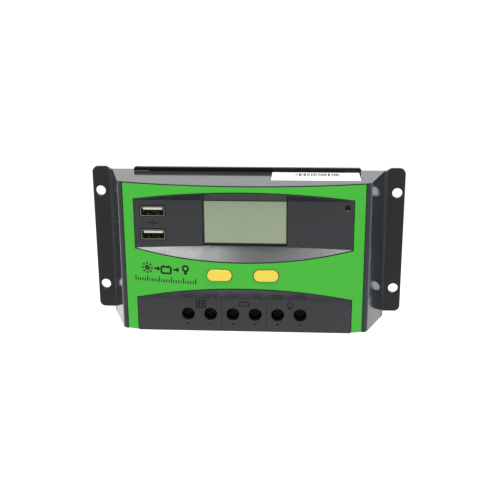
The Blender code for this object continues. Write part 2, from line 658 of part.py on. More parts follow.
def make_usb_sockets():
    """Each socket is a nickel shell, open at the front, round a moulded tongue."""
    back = USB_FRONT_Y + USB_LENGTH
    for place, z in USB_Z.items():
        half, tall = USB_WIDTH / 2, USB_HEIGHT / 2
        can = add(f"usb_shell_{place}",
                  slab(f"usb_shell_{place}",
                       [rectangle(USB_X - half, USB_X + half, z - tall, z + tall, 0.0006, 2)],
                       -back, -USB_FRONT_Y, FACING_WALL), NICKEL)
        inner = rectangle(USB_X - half + USB_WALL, USB_X + half - USB_WALL, z - tall + USB_WALL,
                          z + tall - USB_WALL, 0.0003, 2)
        boolean(can, guide(f"usb_inside_{place}", slab(f"usb_inside_{place}", [inner], -back + USB_WALL,
                                                       -USB_FRONT_Y + 0.001, FACING_WALL)))
        wide, thick = USB_TONGUE
        top = z + tall - USB_WALL - 0.0005
        add(f"usb_tongue_{place}",
            boxes(f"usb_tongue_{place}", [((USB_X - wide / 2, USB_FRONT_Y + 0.0008, top - thick),
                                           (USB_X + wide / 2, back - USB_WALL - GAP, top))]), PALE_RESIN)


# ------------------------------------------------------- buttons
SWITCH_HALF, SWITCH_HEIGHT = 0.0030, 0.0032
SWITCH_BORE_RADIUS, SWITCH_BORE_DEPTH = 0.0020, 0.0022
PLUNGER_RADIUS = 0.0016


def make_buttons():
    """A cap with a collar behind the case wall presses the plunger of a switch."""
    crown = front_y(BUTTON_X["right"]) - BUTTON_PROUD
    collar_front, collar_rear, stem_rear = -0.0421, -0.0411, -0.0389
    for side, x in BUTTON_X.items():
        cap = add(f"button_cap_{side}",
                  slab(f"button_cap_{side}", [stadium(0, 0, BUTTON_LENGTH, BUTTON_HEIGHT)],
                       -stem_rear, -crown, FACING_WALL), YELLOW_ABS)
        cap.location = (x, 0, BUTTON_Z)
        collar = guide(f"collar_{side}",
                       slab(f"collar_{side}", [stadium(x, BUTTON_Z, BUTTON_LENGTH, BUTTON_HEIGHT, 0.0009)],
                            -collar_rear, -collar_front, FACING_WALL))
        boolean(cap, collar, "UNION")

        board = DISPLAY_BOARD_FRONT_Y - GAP
        switch_front = board - SWITCH_HEIGHT
        body = add(f"switch_body_{side}",
                   boxes(f"switch_body_{side}", [((x - SWITCH_HALF, switch_front, BUTTON_Z - SWITCH_HALF),
                                                  (x + SWITCH_HALF, board, BUTTON_Z + SWITCH_HALF))]),
                   BLACK_RESIN)
        bore_end = switch_front + SWITCH_BORE_DEPTH
        bore = rods(f"switch_bore_{side}", [(x, BUTTON_Z, SWITCH_BORE_RADIUS, switch_front - CLEAR, bore_end)],
                    sides=14)
        boolean(body, guide(f"switch_bore_{side}", bore))
        inside = BUTTON_TRAVEL + 0.0005
        length = bore_end - inside - (stem_rear + GAP)
        profile = [(0, 0), (PLUNGER_RADIUS, 0), (PLUNGER_RADIUS, length), (0, length)]
        turned(f"switch_plunger_{side}", profile, PALE_RESIN, x, stem_rear + GAP, BUTTON_Z, steps=14)


# ------------------------------------------------------- terminals
BLOCK_FRONT_Y, BLOCK_REAR_Y = -0.0367, MAIN_BOARD_FRONT_Y - GAP
BLOCK_TOP, BLOCK_BOTTOM = -0.0262, -0.0448
CHAMBER_FRONT_Y, CHAMBER_REAR_Y = -0.0318, -0.0185
CHAMBER_HALF, CHAMBER_TOP = 0.0050, -0.0278
HEAD_FRONT_Y, HEAD_HEIGHT, HEAD_RADIUS = -0.0359, 0.0022, 0.0032
SHANK_RADIUS, SHANK_LENGTH = 0.0017, 0.0078
BAR_FRONT_Y, BAR_THICKNESS = -0.0256, 0.0010
CAGE_FRONT_Y, CAGE_REAR_Y = -0.0271, -0.0189
CAGE_HALF, CAGE_WALL, CAGE_HALF_HEIGHT = 0.0046, 0.0012, 0.0045


def terminal_places():
    return [TERMINAL_PITCH * (i - (TERMINALS - 1) / 2) for i in range(TERMINALS)]


def make_terminal_block():
    """One moulding with a chamber and a screw well for each of the six ways."""
    half = TERMINALS * TERMINAL_PITCH / 2 + 0.0005
    block = add("terminal_block", boxes("terminal_block", [((-half, BLOCK_FRONT_Y, BLOCK_BOTTOM),
                                                            (half, BLOCK_REAR_Y, BLOCK_TOP))]), BLACK_ABS)
    chambers, slots, wells, ways = [], [], [], []
    ledge = HEAD_FRONT_Y + HEAD_HEIGHT + GAP
    for x in terminal_places():
        chambers.append(((x - CHAMBER_HALF, CHAMBER_FRONT_Y, BLOCK_BOTTOM - 0.001),
                         (x + CHAMBER_HALF, CHAMBER_REAR_Y, CHAMBER_TOP)))
        slots.append(((x - 0.0028, CHAMBER_REAR_Y - 0.001, CHAMBER_TOP - 0.0020),
                      (x + 0.0028, BLOCK_REAR_Y + 0.001, CHAMBER_TOP - 0.0001)))
        wells.append((x, TERMINAL_Z, 0.0036, BLOCK_FRONT_Y - 0.001, ledge))
        ways.append((x, TERMINAL_Z, 0.0021, ledge - 0.001, CHAMBER_FRONT_Y + 0.001))
    boolean(block, guide("chambers", boxes("chambers", chambers)))
    boolean(block, guide("bar_slots", boxes("bar_slots", slots)))
    boolean(block, guide("screw_wells", rods("screw_wells", wells, sides=16)))
    boolean(block, guide("screw_ways", rods("screw_ways", ways, sides=12)))


def make_clamps():
    """Turning a screw draws its cage forwards and squeezes the wire on the bar."""
    bar = [(BAR_FRONT_Y, TERMINAL_Z - 0.0050), (BAR_FRONT_Y, CHAMBER_TOP - 0.0004),
           (BLOCK_REAR_Y, CHAMBER_TOP - 0.0004), (BLOCK_REAR_Y, CHAMBER_TOP - 0.0014),
           (BAR_FRONT_Y + BAR_THICKNESS, CHAMBER_TOP - 0.0014),
           (BAR_FRONT_Y + BAR_THICKNESS, TERMINAL_Z - 0.0050)]
    bar_mesh = slab("contact_bar_1", [bar], -0.0024, 0.0024, ALONG_X)
    outer = rectangle(-CAGE_HALF, CAGE_HALF, CAGE_FRONT_Y, CAGE_REAR_Y, 0.0008, 1)
    inner = rectangle(CAGE_WALL - CAGE_HALF, CAGE_HALF - CAGE_WALL, CAGE_FRONT_Y + CAGE_WALL,
                      CAGE_REAR_Y - CAGE_WALL)
    cage_mesh = slab("clamp_cage_1", [outer, inner], -CAGE_HALF_HEIGHT, CAGE_HALF_HEIGHT)
    for number, x in enumerate(terminal_places(), start=1):
        piece = add(f"contact_bar_{number}", bar_mesh, BRASS)
        piece.location.x = x

        cage = add(f"clamp_cage_{number}", cage_mesh, ZINC_STEEL)
        cage.location = (x, 0, TERMINAL_Z)
        thread = rods(f"cage_thread_{number}", [(x, TERMINAL_Z, 0.0021, CAGE_FRONT_Y - 0.001,
                                                 CAGE_FRONT_Y + CAGE_WALL + 0.001)], sides=12)
        boolean(cage, guide(f"cage_thread_{number}", thread))

        profile = screw_profile(HEAD_RADIUS, HEAD_HEIGHT, SHANK_RADIUS, SHANK_LENGTH)
        screw = turned(f"terminal_screw_{number}", profile, ZINC_STEEL, x, HEAD_FRONT_Y, TERMINAL_Z, steps=18)
        boolean(screw, drive_cross(f"terminal_drive_{number}", x, HEAD_FRONT_Y, TERMINAL_Z, 0.0050, 0.0012))


make_back_plate()
make_front_shell()
make_face_trim()
make_label()
make_case_screws()
make_mosfets(make_heat_spreader())
make_boards()
make_components()
make_display()
make_usb_sockets()
make_buttons()
make_terminal_block()
make_clamps()

for piece in parts.objects:
    if piece.name.startswith(("face", "capacitor", "choke", "cover", "board_screw", "terminal_screw")):
        smooth(piece)
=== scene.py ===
"""Looks of a wall-mounted solar charge controller.

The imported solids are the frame.  Each section below makes one piece, or one
group of like pieces, in the order in which the controller is put together:
its outside first, then what sits behind its openings, then what it hides.
"""
import math
import random

import bmesh
import bpy
from mathutils import Matrix, Vector


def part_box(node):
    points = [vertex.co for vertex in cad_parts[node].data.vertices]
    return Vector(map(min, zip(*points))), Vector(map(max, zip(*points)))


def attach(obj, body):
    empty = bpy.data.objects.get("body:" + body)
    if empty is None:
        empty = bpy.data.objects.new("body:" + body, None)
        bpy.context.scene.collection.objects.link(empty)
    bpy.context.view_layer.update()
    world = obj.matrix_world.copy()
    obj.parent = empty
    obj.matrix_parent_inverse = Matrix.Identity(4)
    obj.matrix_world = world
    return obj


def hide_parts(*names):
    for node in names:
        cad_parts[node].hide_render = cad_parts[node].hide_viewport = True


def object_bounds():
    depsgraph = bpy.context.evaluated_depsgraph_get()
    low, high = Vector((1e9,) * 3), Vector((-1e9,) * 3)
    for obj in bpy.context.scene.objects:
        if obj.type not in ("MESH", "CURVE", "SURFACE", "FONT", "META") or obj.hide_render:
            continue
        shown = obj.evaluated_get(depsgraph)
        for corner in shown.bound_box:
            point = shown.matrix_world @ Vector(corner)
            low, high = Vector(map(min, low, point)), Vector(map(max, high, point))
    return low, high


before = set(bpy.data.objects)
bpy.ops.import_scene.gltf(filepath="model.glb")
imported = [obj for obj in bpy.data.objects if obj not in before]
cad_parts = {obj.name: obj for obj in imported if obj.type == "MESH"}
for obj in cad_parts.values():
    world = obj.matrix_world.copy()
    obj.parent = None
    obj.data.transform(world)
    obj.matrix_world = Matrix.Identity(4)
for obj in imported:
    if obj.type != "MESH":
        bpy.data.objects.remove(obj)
cad_low, cad_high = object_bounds()

# ------------------------------------------------------------ camera, floor, light
# The camera looks slightly down on the front and a touch from its right.  Two
# softboxes hang overhead, and the room and the floor are pale and even.
MM = 0.001
AIM = Vector((2.5, -20.0, -1.1)) * MM
AZIMUTH, ELEVATION, ROLL = (math.radians(a) for a in (3.7, 17.1, -0.31))
DISTANCE = 0.507
LENS, SENSOR = 61.6, 36.0
NEAREST, FARTHEST = 0.01, 50.0

back = Vector((math.sin(AZIMUTH) * math.cos(ELEVATION), -math.cos(AZIMUTH) * math.cos(ELEVATION),
               math.sin(ELEVATION)))
right = Matrix.Rotation(ROLL, 3, back) @ Vector((math.cos(AZIMUTH), math.sin(AZIMUTH), 0))
camera = bpy.data.objects.new("camera", bpy.data.cameras.new("camera"))
camera.data.lens, camera.data.sensor_width = LENS, SENSOR
camera.data.clip_start, camera.data.clip_end = NEAREST, FARTHEST
camera.matrix_world = Matrix.LocRotScale(
    AIM + DISTANCE * back, Matrix((right, back.cross(right), back)).transposed(), None)
bpy.context.scene.collection.objects.link(camera)
bpy.context.scene.camera = camera
bpy.context.scene.view_settings.view_transform = "Standard"


def linear(code):
    """The linear colour of an sRGB hex value."""
    values = [int(code[i:i + 2], 16) / 255 for i in (1, 3, 5)]
    return (*(v / 12.92 if v <= 0.04045 else ((v + 0.055) / 1.055) ** 2.4 for v in values), 1.0)


FLOOR_DROP, FLOOR_REACH = 0.25, 12.0
floor = bpy.data.objects.new("floor", bpy.data.meshes.new("floor"))
sheet = bmesh.new()
bmesh.ops.create_grid(sheet, x_segments=1, y_segments=1, size=FLOOR_REACH,
                      matrix=Matrix.Translation((0, 0, cad_low.z - FLOOR_DROP)))
sheet.to_mesh(floor.data)
sheet.free()
bpy.context.scene.collection.objects.link(floor)
# seamless paper: a matt, nearly white ground without a horizon
paper = bpy.data.materials.new("seamless_paper")
paper.use_nodes = True
paper.node_tree.nodes["Principled BSDF"].inputs["Base Color"].default_value = linear("#f4f4f4")
paper.node_tree.nodes["Principled BSDF"].inputs["Roughness"].default_value = 0.9
floor.data.materials.append(paper)

ROOM_STRENGTH = 1.15
world = bpy.data.worlds.new("room")
world.use_nodes = True
world.node_tree.nodes["Background"].inputs["Color"].default_value = linear("#ffffff")
world.node_tree.nodes["Background"].inputs["Strength"].default_value = ROOM_STRENGTH
bpy.context.scene.world = world

SOFTBOX_Y, SOFTBOX_Z, SOFTBOX_SIZE = -0.20, 0.75, 0.26
for name, x, power in (("softbox_left", -0.24, 4.0), ("softbox_right", 0.22, 3.4)):
    softbox = bpy.data.objects.new(name, bpy.data.lights.new(name, "AREA"))
    softbox.data.shape, softbox.data.size, softbox.data.energy = "SQUARE", SOFTBOX_SIZE, power
    softbox.location = (x, SOFTBOX_Y, SOFTBOX_Z)
    softbox.rotation_euler = (Vector(softbox.location) - AIM).to_track_quat("Z", "Y").to_euler()
    bpy.context.scene.collection.objects.link(softbox)

# ------------------------------------------------------------ back plate
# Everything hangs on a pressed steel plate, powder coated black, whose two ears
# stand out of the case and take the wall screws through four plain holes.
PLATE_HALF, PLATE_EAR, PLATE_TOP = 94.0 * MM, 45.0 * MM, 43.0 * MM
PLATE_THICKNESS, PLATE_INNER, EAR_RISE, EAR_CORNER = 2.0 * MM, 82.0 * MM, 3.5 * MM, 3.5 * MM
PLATE_EDGE = 0.25 * MM
WALL_HOLES = [(x * MM, z * MM) for x in (-89.5, 89.5) for z in (-30, 30)]
WALL_HOLE_RADIUS = 3.0 * MM
COVER_POSTS = [(x * MM, z * MM) for x in (-66, 66) for z in (-36.5, 36.5)]
SINK_FRONT, SINK_REAR = 1.7 * MM, 3.7 * MM
SAME = 1e-7
TO_Y = Matrix.Rotation(math.pi / 2, 4, "X")


def soften(work, edges, width, segments=3):
    """Rounds edges."""
    bmesh.ops.bevel(work, geom=list(edges), offset=width, offset_type="OFFSET", segments=segments,
                    profile=0.5, affect="EDGES", material=-1, clamp_overlap=True)


def creases(work, angle=30.0):
    """The edges at which a solid turns by more than an angle."""
    return [e for e in work.edges if len(e.link_faces) == 2 and e.calc_face_angle() > math.radians(angle)]


def uprights(plate):
    """The edges of a plate that run through it, along Y."""
    return [e for e in plate.edges if e.verts[0].co.xz == e.verts[1].co.xz]


def outlines(plate):
    """The sharp edges round the two faces of a plate."""
    return [e for e in creases(plate, 60) if abs(e.verts[0].co.y - e.verts[1].co.y) < SAME]


def prism(outline, low, high, axis):
    """A flat outline raised from low to high along an axis; its points give the other two coordinates."""
    work = bmesh.new()
    place = {"Z": lambda a, b: (a, b, low), "Y": lambda a, b: (a, low, b), "X": lambda a, b: (low, a, b)}[axis]
    face = work.faces.new([work.verts.new(place(a, b)) for a, b in outline])
    risen = bmesh.ops.extrude_face_region(work, geom=[face])
    for vertex in risen["geom"]:
        if isinstance(vertex, bmesh.types.BMVert):
            vertex.co["XYZ".index(axis)] = high
    bmesh.ops.recalc_face_normals(work, faces=work.faces)
    return work


def block(low, high, corner=0.0, edge=0.0, axis=1, segments=6):
    """A box, its edges along one axis rounded by corner and the others by edge."""
    work = bmesh.new()
    low, high = Vector(low), Vector(high)
    bmesh.ops.create_cube(work, size=1, matrix=Matrix.LocRotScale((low + high) / 2, None, high - low))
    if corner:
        along = [e for e in work.edges if abs((e.verts[0].co - e.verts[1].co)[axis]) > SAME]
        soften(work, along, corner, segments)
    if edge:
        soften(work, creases(work), edge, 2)
    return work


def rod(x, z, front, rear, radius, rear_radius=None, sides=48):
    """A round rod or cone along Y."""
    work = bmesh.new()
    bmesh.ops.create_cone(work, cap_ends=True, segments=sides, radius1=rear_radius or radius, radius2=radius,
                          depth=rear - front, matrix=Matrix.Translation((x, (front + rear) / 2, z)) @ TO_Y)
    return work


def joined(works):
    """Several solids in one bmesh."""
    whole = bmesh.new()
    for work in works:
        mesh = bpy.data.meshes.new("part")
        work.to_mesh(mesh)
        work.free()
        whole.from_mesh(mesh)
        bpy.data.meshes.remove(mesh)
    return whole


def carve(work, *cutters, operation="DIFFERENCE"):
    """Takes solids away from a solid, or adds them to it."""
    holders = []
    for solid in (work, *cutters):
        mesh = bpy.data.meshes.new("solid")
        solid.to_mesh(mesh)
        solid.free()
        holders.append(bpy.data.objects.new("solid", mesh))
        bpy.context.scene.collection.objects.link(holders[-1])
    for cutter in holders[1:]:
        step = holders[0].modifiers.new("cut", "BOOLEAN")
        step.operation, step.solver, step.object = operation, "MANIFOLD", cutter
    result = bmesh.new()
    result.from_object(holders[0], bpy.context.evaluated_depsgraph_get())
    for holder in holders:
        mesh = holder.data
        bpy.data.objects.remove(holder)
        bpy.data.meshes.remove(mesh)
    return result


def piece(name, work, body, nodes, paint, *materials, smooth=35.0):
    """Ends a bmesh as a piece on a body, in place of CAD nodes, smooth except where it turns sharply."""
    mesh = bpy.data.meshes.new(name)
    work.to_mesh(mesh)
    work.free()
    for each in materials:
        mesh.materials.append(each)
    mesh.shade_smooth()
    mesh.set_sharp_from_angle(angle=math.radians(smooth))
    made = bpy.data.objects.new(name, mesh)
    bpy.context.scene.collection.objects.link(made)
    made.modifiers.new("flat_faces", "WEIGHTED_NORMAL").keep_sharp = True
    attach(made, body)
    if nodes:
        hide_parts(*nodes)


def node(tree, kind, inputs=(), **settings):
    """Adds a node; an input is given by name or number, as a value or as the socket that feeds it."""
    made = tree.nodes.new("ShaderNode" + kind)
    for name, value in settings.items():
        setattr(made, name, value)
    for key, value in dict(inputs).items():
        if isinstance(value, bpy.types.NodeSocket):
            tree.links.new(value, made.inputs[key])
        else:
            made.inputs[key].default_value = value
    return made


# what every surface fades towards as it wears, a middle grey
DUST = 0.18


def finish(name, colour, roughness, grain, relief, change=0.2, drift=18.0, fade=0.08, stretch=(1, 1, 1),
           sockets=()):
    """A material whose relief, gloss and shade vary; grain, relief and drift are in millimetres."""
    made = bpy.data.materials.new(name)
    made.use_nodes = True
    tree = made.node_tree
    shader = tree.nodes["Principled BSDF"]
    place = node(tree, "Mapping", {"Vector": node(tree, "TexCoord").outputs["Object"], "Scale": stretch})
    fine = node(tree, "TexNoise", {"Vector": place.outputs[0], "Scale": 1 / (grain * MM), "Detail": 2.0})
    broad = node(tree, "TexNoise", {"Vector": place.outputs[0], "Scale": 1 / (drift * MM), "Detail": 5.0,
                                    "Roughness": 0.6})
    gloss = node(tree, "MapRange", {"Value": broad.outputs["Fac"], "From Min": 0.3, "From Max": 0.7,
                                    "To Min": roughness * (1 - change), "To Max": roughness * (1 + change)})
    clean = linear(colour)
    worn = tuple(c + (DUST - c) * fade for c in clean[:3]) + (1.0,)
    shade = node(tree, "Mix", {0: broad.outputs["Fac"], 6: clean, 7: worn}, data_type="RGBA")
    bump = node(tree, "Bump", {"Height": fine.outputs["Fac"], "Distance": relief * MM})
    tree.links.new(gloss.outputs["Result"], shader.inputs["Roughness"])
    tree.links.new(shade.outputs[2], shader.inputs["Base Color"])
    tree.links.new(bump.outputs["Normal"], shader.inputs["Normal"])
    for socket, value in dict(sockets).items():
        shader.inputs[socket].default_value = value
    return made


# powder coat: an even satin black with a fine orange peel that breaks up its highlights
powder_coat = finish("powder_coated_steel", "#0f1012", 0.32, grain=0.9, relief=0.004, drift=14, fade=0.02,
                     sockets={"IOR": 1.33})

rise = PLATE_INNER + EAR_RISE
outline = [(-PLATE_HALF, -PLATE_EAR), (PLATE_HALF, -PLATE_EAR), (PLATE_HALF, PLATE_EAR), (rise, PLATE_EAR),
           (PLATE_INNER, PLATE_TOP), (-PLATE_INNER, PLATE_TOP), (-rise, PLATE_EAR), (-PLATE_HALF, PLATE_EAR)]
plate = prism(outline, -PLATE_THICKNESS, 0, axis="Y")
soften(plate, [e for e in uprights(plate) if abs(e.verts[0].co.x) > rise + EAR_CORNER / 2], EAR_CORNER, 8)
soften(plate, outlines(plate), PLATE_EDGE, 2)
holes = [rod(x, z, -PLATE_THICKNESS - MM, MM, WALL_HOLE_RADIUS) for x, z in WALL_HOLES]
chamfers = [rod(x, z, -PLATE_THICKNESS - PLATE_EDGE, -PLATE_THICKNESS + 2 * PLATE_EDGE,
                WALL_HOLE_RADIUS + 2 * PLATE_EDGE, WALL_HOLE_RADIUS - PLATE_EDGE) for x, z in WALL_HOLES]
sinks = [rod(x, z, -PLATE_THICKNESS * 1.1, PLATE_THICKNESS * 0.1, SINK_FRONT, SINK_REAR) for x, z in COVER_POSTS]
plate = carve(plate, joined(holes), joined(chamfers), joined(sinks))
piece("mounting_plate", plate, "case", ["back_plate"], "steel_plate", powder_coat)

# ------------------------------------------------------------ case moulding
# The front of the case is one moulding of black ABS: sides that slope back to a
# rim, a bowed front with two recesses, and a seat for the green trim.  The
# recesses are spark-eroded to a satin; the outside is polished.
shell_low, shell_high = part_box("front_shell")
trim_low, trim_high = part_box("face_trim")
CROWN_Y, PANEL_Y, EDGE_Y = -47.0 * MM, -39.2 * MM, -36.5 * MM
FRONT_HALF, REAR_HALF = 71.4 * MM, 81.8 * MM
BOW_RADIUS = (FRONT_HALF ** 2 + (EDGE_Y - CROWN_Y) ** 2) / (2 * (EDGE_Y - CROWN_Y))
BOTTOM_FRONT, BOTTOM_REAR = -45.2 * MM, shell_low.z
CASE_TOP = shell_high.z
FLARE, CORNER_REACH = 2.3 * MM, 2.2 * MM
LIP_HALF, LIP_DEPTH = shell_high.x, 1.8 * MM
RECESS_HALF = 61.6 * MM
UPPER_CEILING, UPPER_SLOPE = 33.5 * MM, 0.73
FLOOR_ENDS, FLOOR_MIDDLE, FLOOR_SLOPE = 5.5 * MM, 7.0 * MM, 0.92
LOWER_CEILING, LOWER_SLOPE = -25.3 * MM, 1.10
RIM, GAP, SEAT, WALL = 0.5 * MM, 0.3 * MM, 1.5 * MM, 2.0 * MM
TRIM_HALF = trim_high.x


def bow(x, inset=0.0):
    """Depth of the bowed front at x, or of the surface inset behind it."""
    return CROWN_Y + BOW_RADIUS - math.sqrt((BOW_RADIUS - inset) ** 2 - x * x)


def floor_line(x):
    """Height of the upper recess's floor where it meets the panel."""
    return FLOOR_ENDS + (FLOOR_MIDDLE - FLOOR_ENDS) * math.cos(math.pi / 2 * min(1, abs(x) / RECESS_HALF))


def arcs(x):
    """Heights at which the terminal ceiling, the recess floor and the recess ceiling meet the bowed front."""
    ahead = max(0.0, PANEL_Y - bow(min(abs(x), RECESS_HALF)))
    return (LOWER_CEILING + LOWER_SLOPE * ahead, floor_line(x) - FLOOR_SLOPE * ahead,
            UPPER_CEILING + UPPER_SLOPE * ahead)


def half_width(y):
    """Half the case's width at depth y, along its top."""
    return FRONT_HALF + (y - EDGE_Y) / (-PLATE_THICKNESS - EDGE_Y) * (REAR_HALF - FRONT_HALF)


def bottom(y):
    """Height of the case's lower face at depth y."""
    return BOTTOM_FRONT + max(0.0, (y - EDGE_Y) / (shell_high.y - EDGE_Y)) * (BOTTOM_REAR - BOTTOM_FRONT)


def flare(y):
    """How much wider the case is at its bottom, at depth y."""
    return FLARE * max(0.0, (y - EDGE_Y) / -EDGE_Y)


def steps(start, end, count):
    """Evenly spaced values from start to end, both included."""
    return [start + (end - start) * i / count for i in range(count + 1)]


def case_stations():
    """Plan stations from the middle of the front to the right rear: (zone, x, y where it isn't the bow's)."""
    seat_end = TRIM_HALF + GAP
    stations = [("panel", x, None) for x in steps(0, RECESS_HALF, 48)]
    stations += [("rim", x, None) for x in (RECESS_HALF + 0.01 * MM, RECESS_HALF + RIM)]
    stations += [("seat", x, None) for x in steps(RECESS_HALF + RIM, seat_end, 5)]
    stations.append(("band", seat_end, None))
    inward = Vector((-1, -FRONT_HALF / BOW_RADIUS)).normalized()
    rearward = Vector(((REAR_HALF - FRONT_HALF) / (-PLATE_THICKNESS - EDGE_Y), 1)).normalized()
    for t in steps(0, 1, 7):
        spot = Vector((FRONT_HALF, EDGE_Y)) + (1 - t) ** 2 * CORNER_REACH * inward
        spot += t * t * CORNER_REACH * rearward
        stations.append(("side", spot.x, spot.y))
    lip_y = shell_high.y - LIP_DEPTH
    stations += [("side", half_width(y), y) for y in steps(stations[-1][2], lip_y, 4)[1:]]
    stations += [("lip", LIP_HALF, lip_y + GAP), ("lip", LIP_HALF, shell_high.y)]
    return stations


def case_point(zone, x, y, row):
    """The moulding's surface at a station and one of the sixteen rows of its section."""
    lower, middle, upper = arcs(x)
    heights = (None, LOWER_CEILING, lower, lower + RIM, lower + RIM, middle - RIM, middle - RIM, middle,
               floor_line(x), UPPER_CEILING, upper, upper + RIM, upper + RIM, trim_high.z + GAP,
               trim_high.z + GAP, CASE_TOP)
    if y is None:
        on_panel = zone == "panel" and row in (0, 1, 8, 9)
        seated = row < 14 if zone == "seat" else zone in ("panel", "rim") and row in (4, 5, 12, 13)
        y = max(PANEL_Y, bow(x)) if on_panel else bow(x, SEAT if seated else 0.0)
    level = BOTTOM_FRONT if zone not in ("side", "lip") else bottom(y)
    z = level if row == 0 else heights[row]
    if zone == "side":
        x = min(x + flare(y) * (CASE_TOP - z) / (CASE_TOP - BOTTOM_REAR), LIP_HALF - 0.1 * MM)
    return Vector((x, y, z))


right_stations = case_stations()
stations = [(zone, -x, y) for zone, x, y in reversed(right_stations[1:])] + right_stations
ROWS = 16
case = bmesh.new()
row_of = case.verts.layers.int.new("row")
station_of = case.verts.layers.int.new("station")
bmesh.ops.create_grid(case, x_segments=len(stations) - 1, y_segments=ROWS - 1, size=1)
for vertex in case.verts:
    vertex[station_of] = round((vertex.co.x + 1) / 2 * (len(stations) - 1))
    vertex[row_of] = round((vertex.co.y + 1) / 2 * (ROWS - 1))
    zone, x, y = stations[vertex[station_of]]
    place = case_point(zone, abs(x), y, vertex[row_of])
    vertex.co = (math.copysign(place.x, x), place.y, place.z)
for face in case.faces:
    in_recess = all(v[row_of] in (0, 1, 2, 7, 8, 9, 10) and stations[v[station_of]][0] == "panel"
                    for v in face.verts)
    rows = {v[row_of] for v in face.verts}
    face.material_index = 1 if in_recess and rows != {2, 7} else 0


def line_of(layer, other, value):
    """The vertices of one row or station of the grid, in order."""
    return sorted((v for v in case.verts if v[layer] == value), key=lambda v: v[other])


# the top, the two levels of the bottom and the open rear are closed with one face each
top_line, low_line = line_of(row_of, station_of, ROWS - 1), line_of(row_of, station_of, 0)
left_line, right_line = line_of(station_of, row_of, 0), line_of(station_of, row_of, len(stations) - 1)
level = [v for v in low_line if abs(v.co.z - BOTTOM_FRONT) < SAME]
first, last = low_line.index(level[0]), low_line.index(level[-1])
for line in (top_line, level, low_line[:first + 1] + low_line[last:], left_line + right_line[::-1]):
    case.faces.new(line)
bmesh.ops.recalc_face_normals(case, faces=case.faces)
bmesh.ops.dissolve_degenerate(case, dist=0.005 * MM, edges=case.edges)
for radius, rows in ((0.5 * MM, (0, ROWS - 1)), (0.35 * MM, (1, 8, 9)), (0.13 * MM, (2, 3, 6, 7, 10, 11, 14))):
    soften(case, [e for e in creases(case, 20) if e.verts[0][row_of] == e.verts[1][row_of]
                  and e.verts[0][row_of] in rows], radius)

# the cavity: the outline one wall further in, less the walls of the recesses and the screw posts
BOARD_POSTS = [(x * MM, z * MM) for x in (-58.5, 58.5) for z in (37.2, -37.0)]
COVER_POST_ROOT, COVER_POST_RADIUS, BOARD_POST_ROOT, BOARD_POST_RADIUS = (v * MM for v in (-35.2, 3.5, -37.5, 2.6))
COVER_BORE_END, COVER_BORE_RADIUS, BOARD_BORE_END, BOARD_BORE_RADIUS = (v * MM for v in (-16, 1.8, -26, 1.6))
MAIN_BOARD_Y = -16.6 * MM
inset = SEAT + WALL
inner_half = half_width(bow(FRONT_HALF, inset)) - WALL
plan = [(x, bow(x, inset)) for x in steps(inner_half, -inner_half, 40)]
plan = [(half_width(WALL) - WALL, WALL)] + plan + [(WALL - half_width(WALL), WALL)]
cavity = prism(plan, BOTTOM_FRONT, CASE_TOP - WALL, axis="Z")
for vertex in cavity.verts:
    if vertex.co.z < 0:
        vertex.co.x = math.copysign(abs(vertex.co.x) + flare(vertex.co.y), vertex.co.x)
        vertex.co.z = bottom(vertex.co.y) + WALL


def recess_walls(low_line, high, fall, climb):
    """The solid that a recess and its walls take up inside the case."""
    half = RECESS_HALF + WALL
    spots = steps(-half, half, 24)
    work = prism([(x, low_line(x)) for x in spots] + [(half, high), (-half, high)],
                 PANEL_Y + WALL, CROWN_Y - WALL, axis="Y")
    for vertex in work.verts:
        ahead = PANEL_Y - vertex.co.y
        if vertex.co.z > high - 10 * SAME:
            vertex.co.z += climb * ahead + WALL * math.hypot(1, climb)
        else:
            vertex.co.z -= fall * ahead + WALL * math.hypot(1, fall)
    return work


upper_walls = recess_walls(floor_line, UPPER_CEILING, FLOOR_SLOPE, UPPER_SLOPE)
lower_walls = recess_walls(lambda x: BOTTOM_REAR - 10 * MM, LOWER_CEILING, 0.0, LOWER_SLOPE)
posts = [rod(x, z, COVER_POST_ROOT, shell_high.y + MM, COVER_POST_RADIUS, sides=32) for x, z in COVER_POSTS]
posts += [rod(x, z, BOARD_POST_ROOT, MAIN_BOARD_Y - GAP, BOARD_POST_RADIUS, sides=32) for x, z in BOARD_POSTS]
cavity = carve(cavity, upper_walls, lower_walls, joined(posts))

# the openings, each cut with a small chamfer at the face that shows
LCD_LOW, LCD_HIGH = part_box("lcd_glass")
WINDOW_BOTTOM = 7.2 * MM
USB_X, USB_Z = -51.4 * MM, {"upper": 27.15 * MM, "lower": 13.45 * MM}
USB_HALF = Vector((6.95, 0, 2.95)) * MM
LAMP, LAMP_HALF = Vector((58.55, 0, 29.85)) * MM, 1.1 * MM
PITCH = 13.05 * MM
ACCESS_X = [PITCH * (i - 2.5) for i in range(6)]
ACCESS_Z, ACCESS_RADIUS = -34.7 * MM, 3.8 * MM
BUTTON_X, BUTTON_Z = {"left": -13.2 * MM, "right": 13.2 * MM}, -8.1 * MM
BUTTON_HALF = Vector((6.95, 0, 3.3)) * MM
WALL_HOLE_GAP, TRIM_HOLE_GAP = 0.3 * MM, 0.42 * MM
ENTRY_FRONT, ENTRY_LOW, ENTRY_HIGH, ENTRY_SIDE = -37 * MM, -50 * MM, -42 * MM, 0.9 * MM
SPREADER_HALF, SPREADER_FRONT, SPREADER_REAR = 58.0 * MM, -9.0 * MM, -6.0 * MM
LABEL_LOW, LABEL_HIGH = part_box("rating_label")
BEHIND_PANEL, CHAMFER = PANEL_Y + WALL + MM, 0.2 * MM


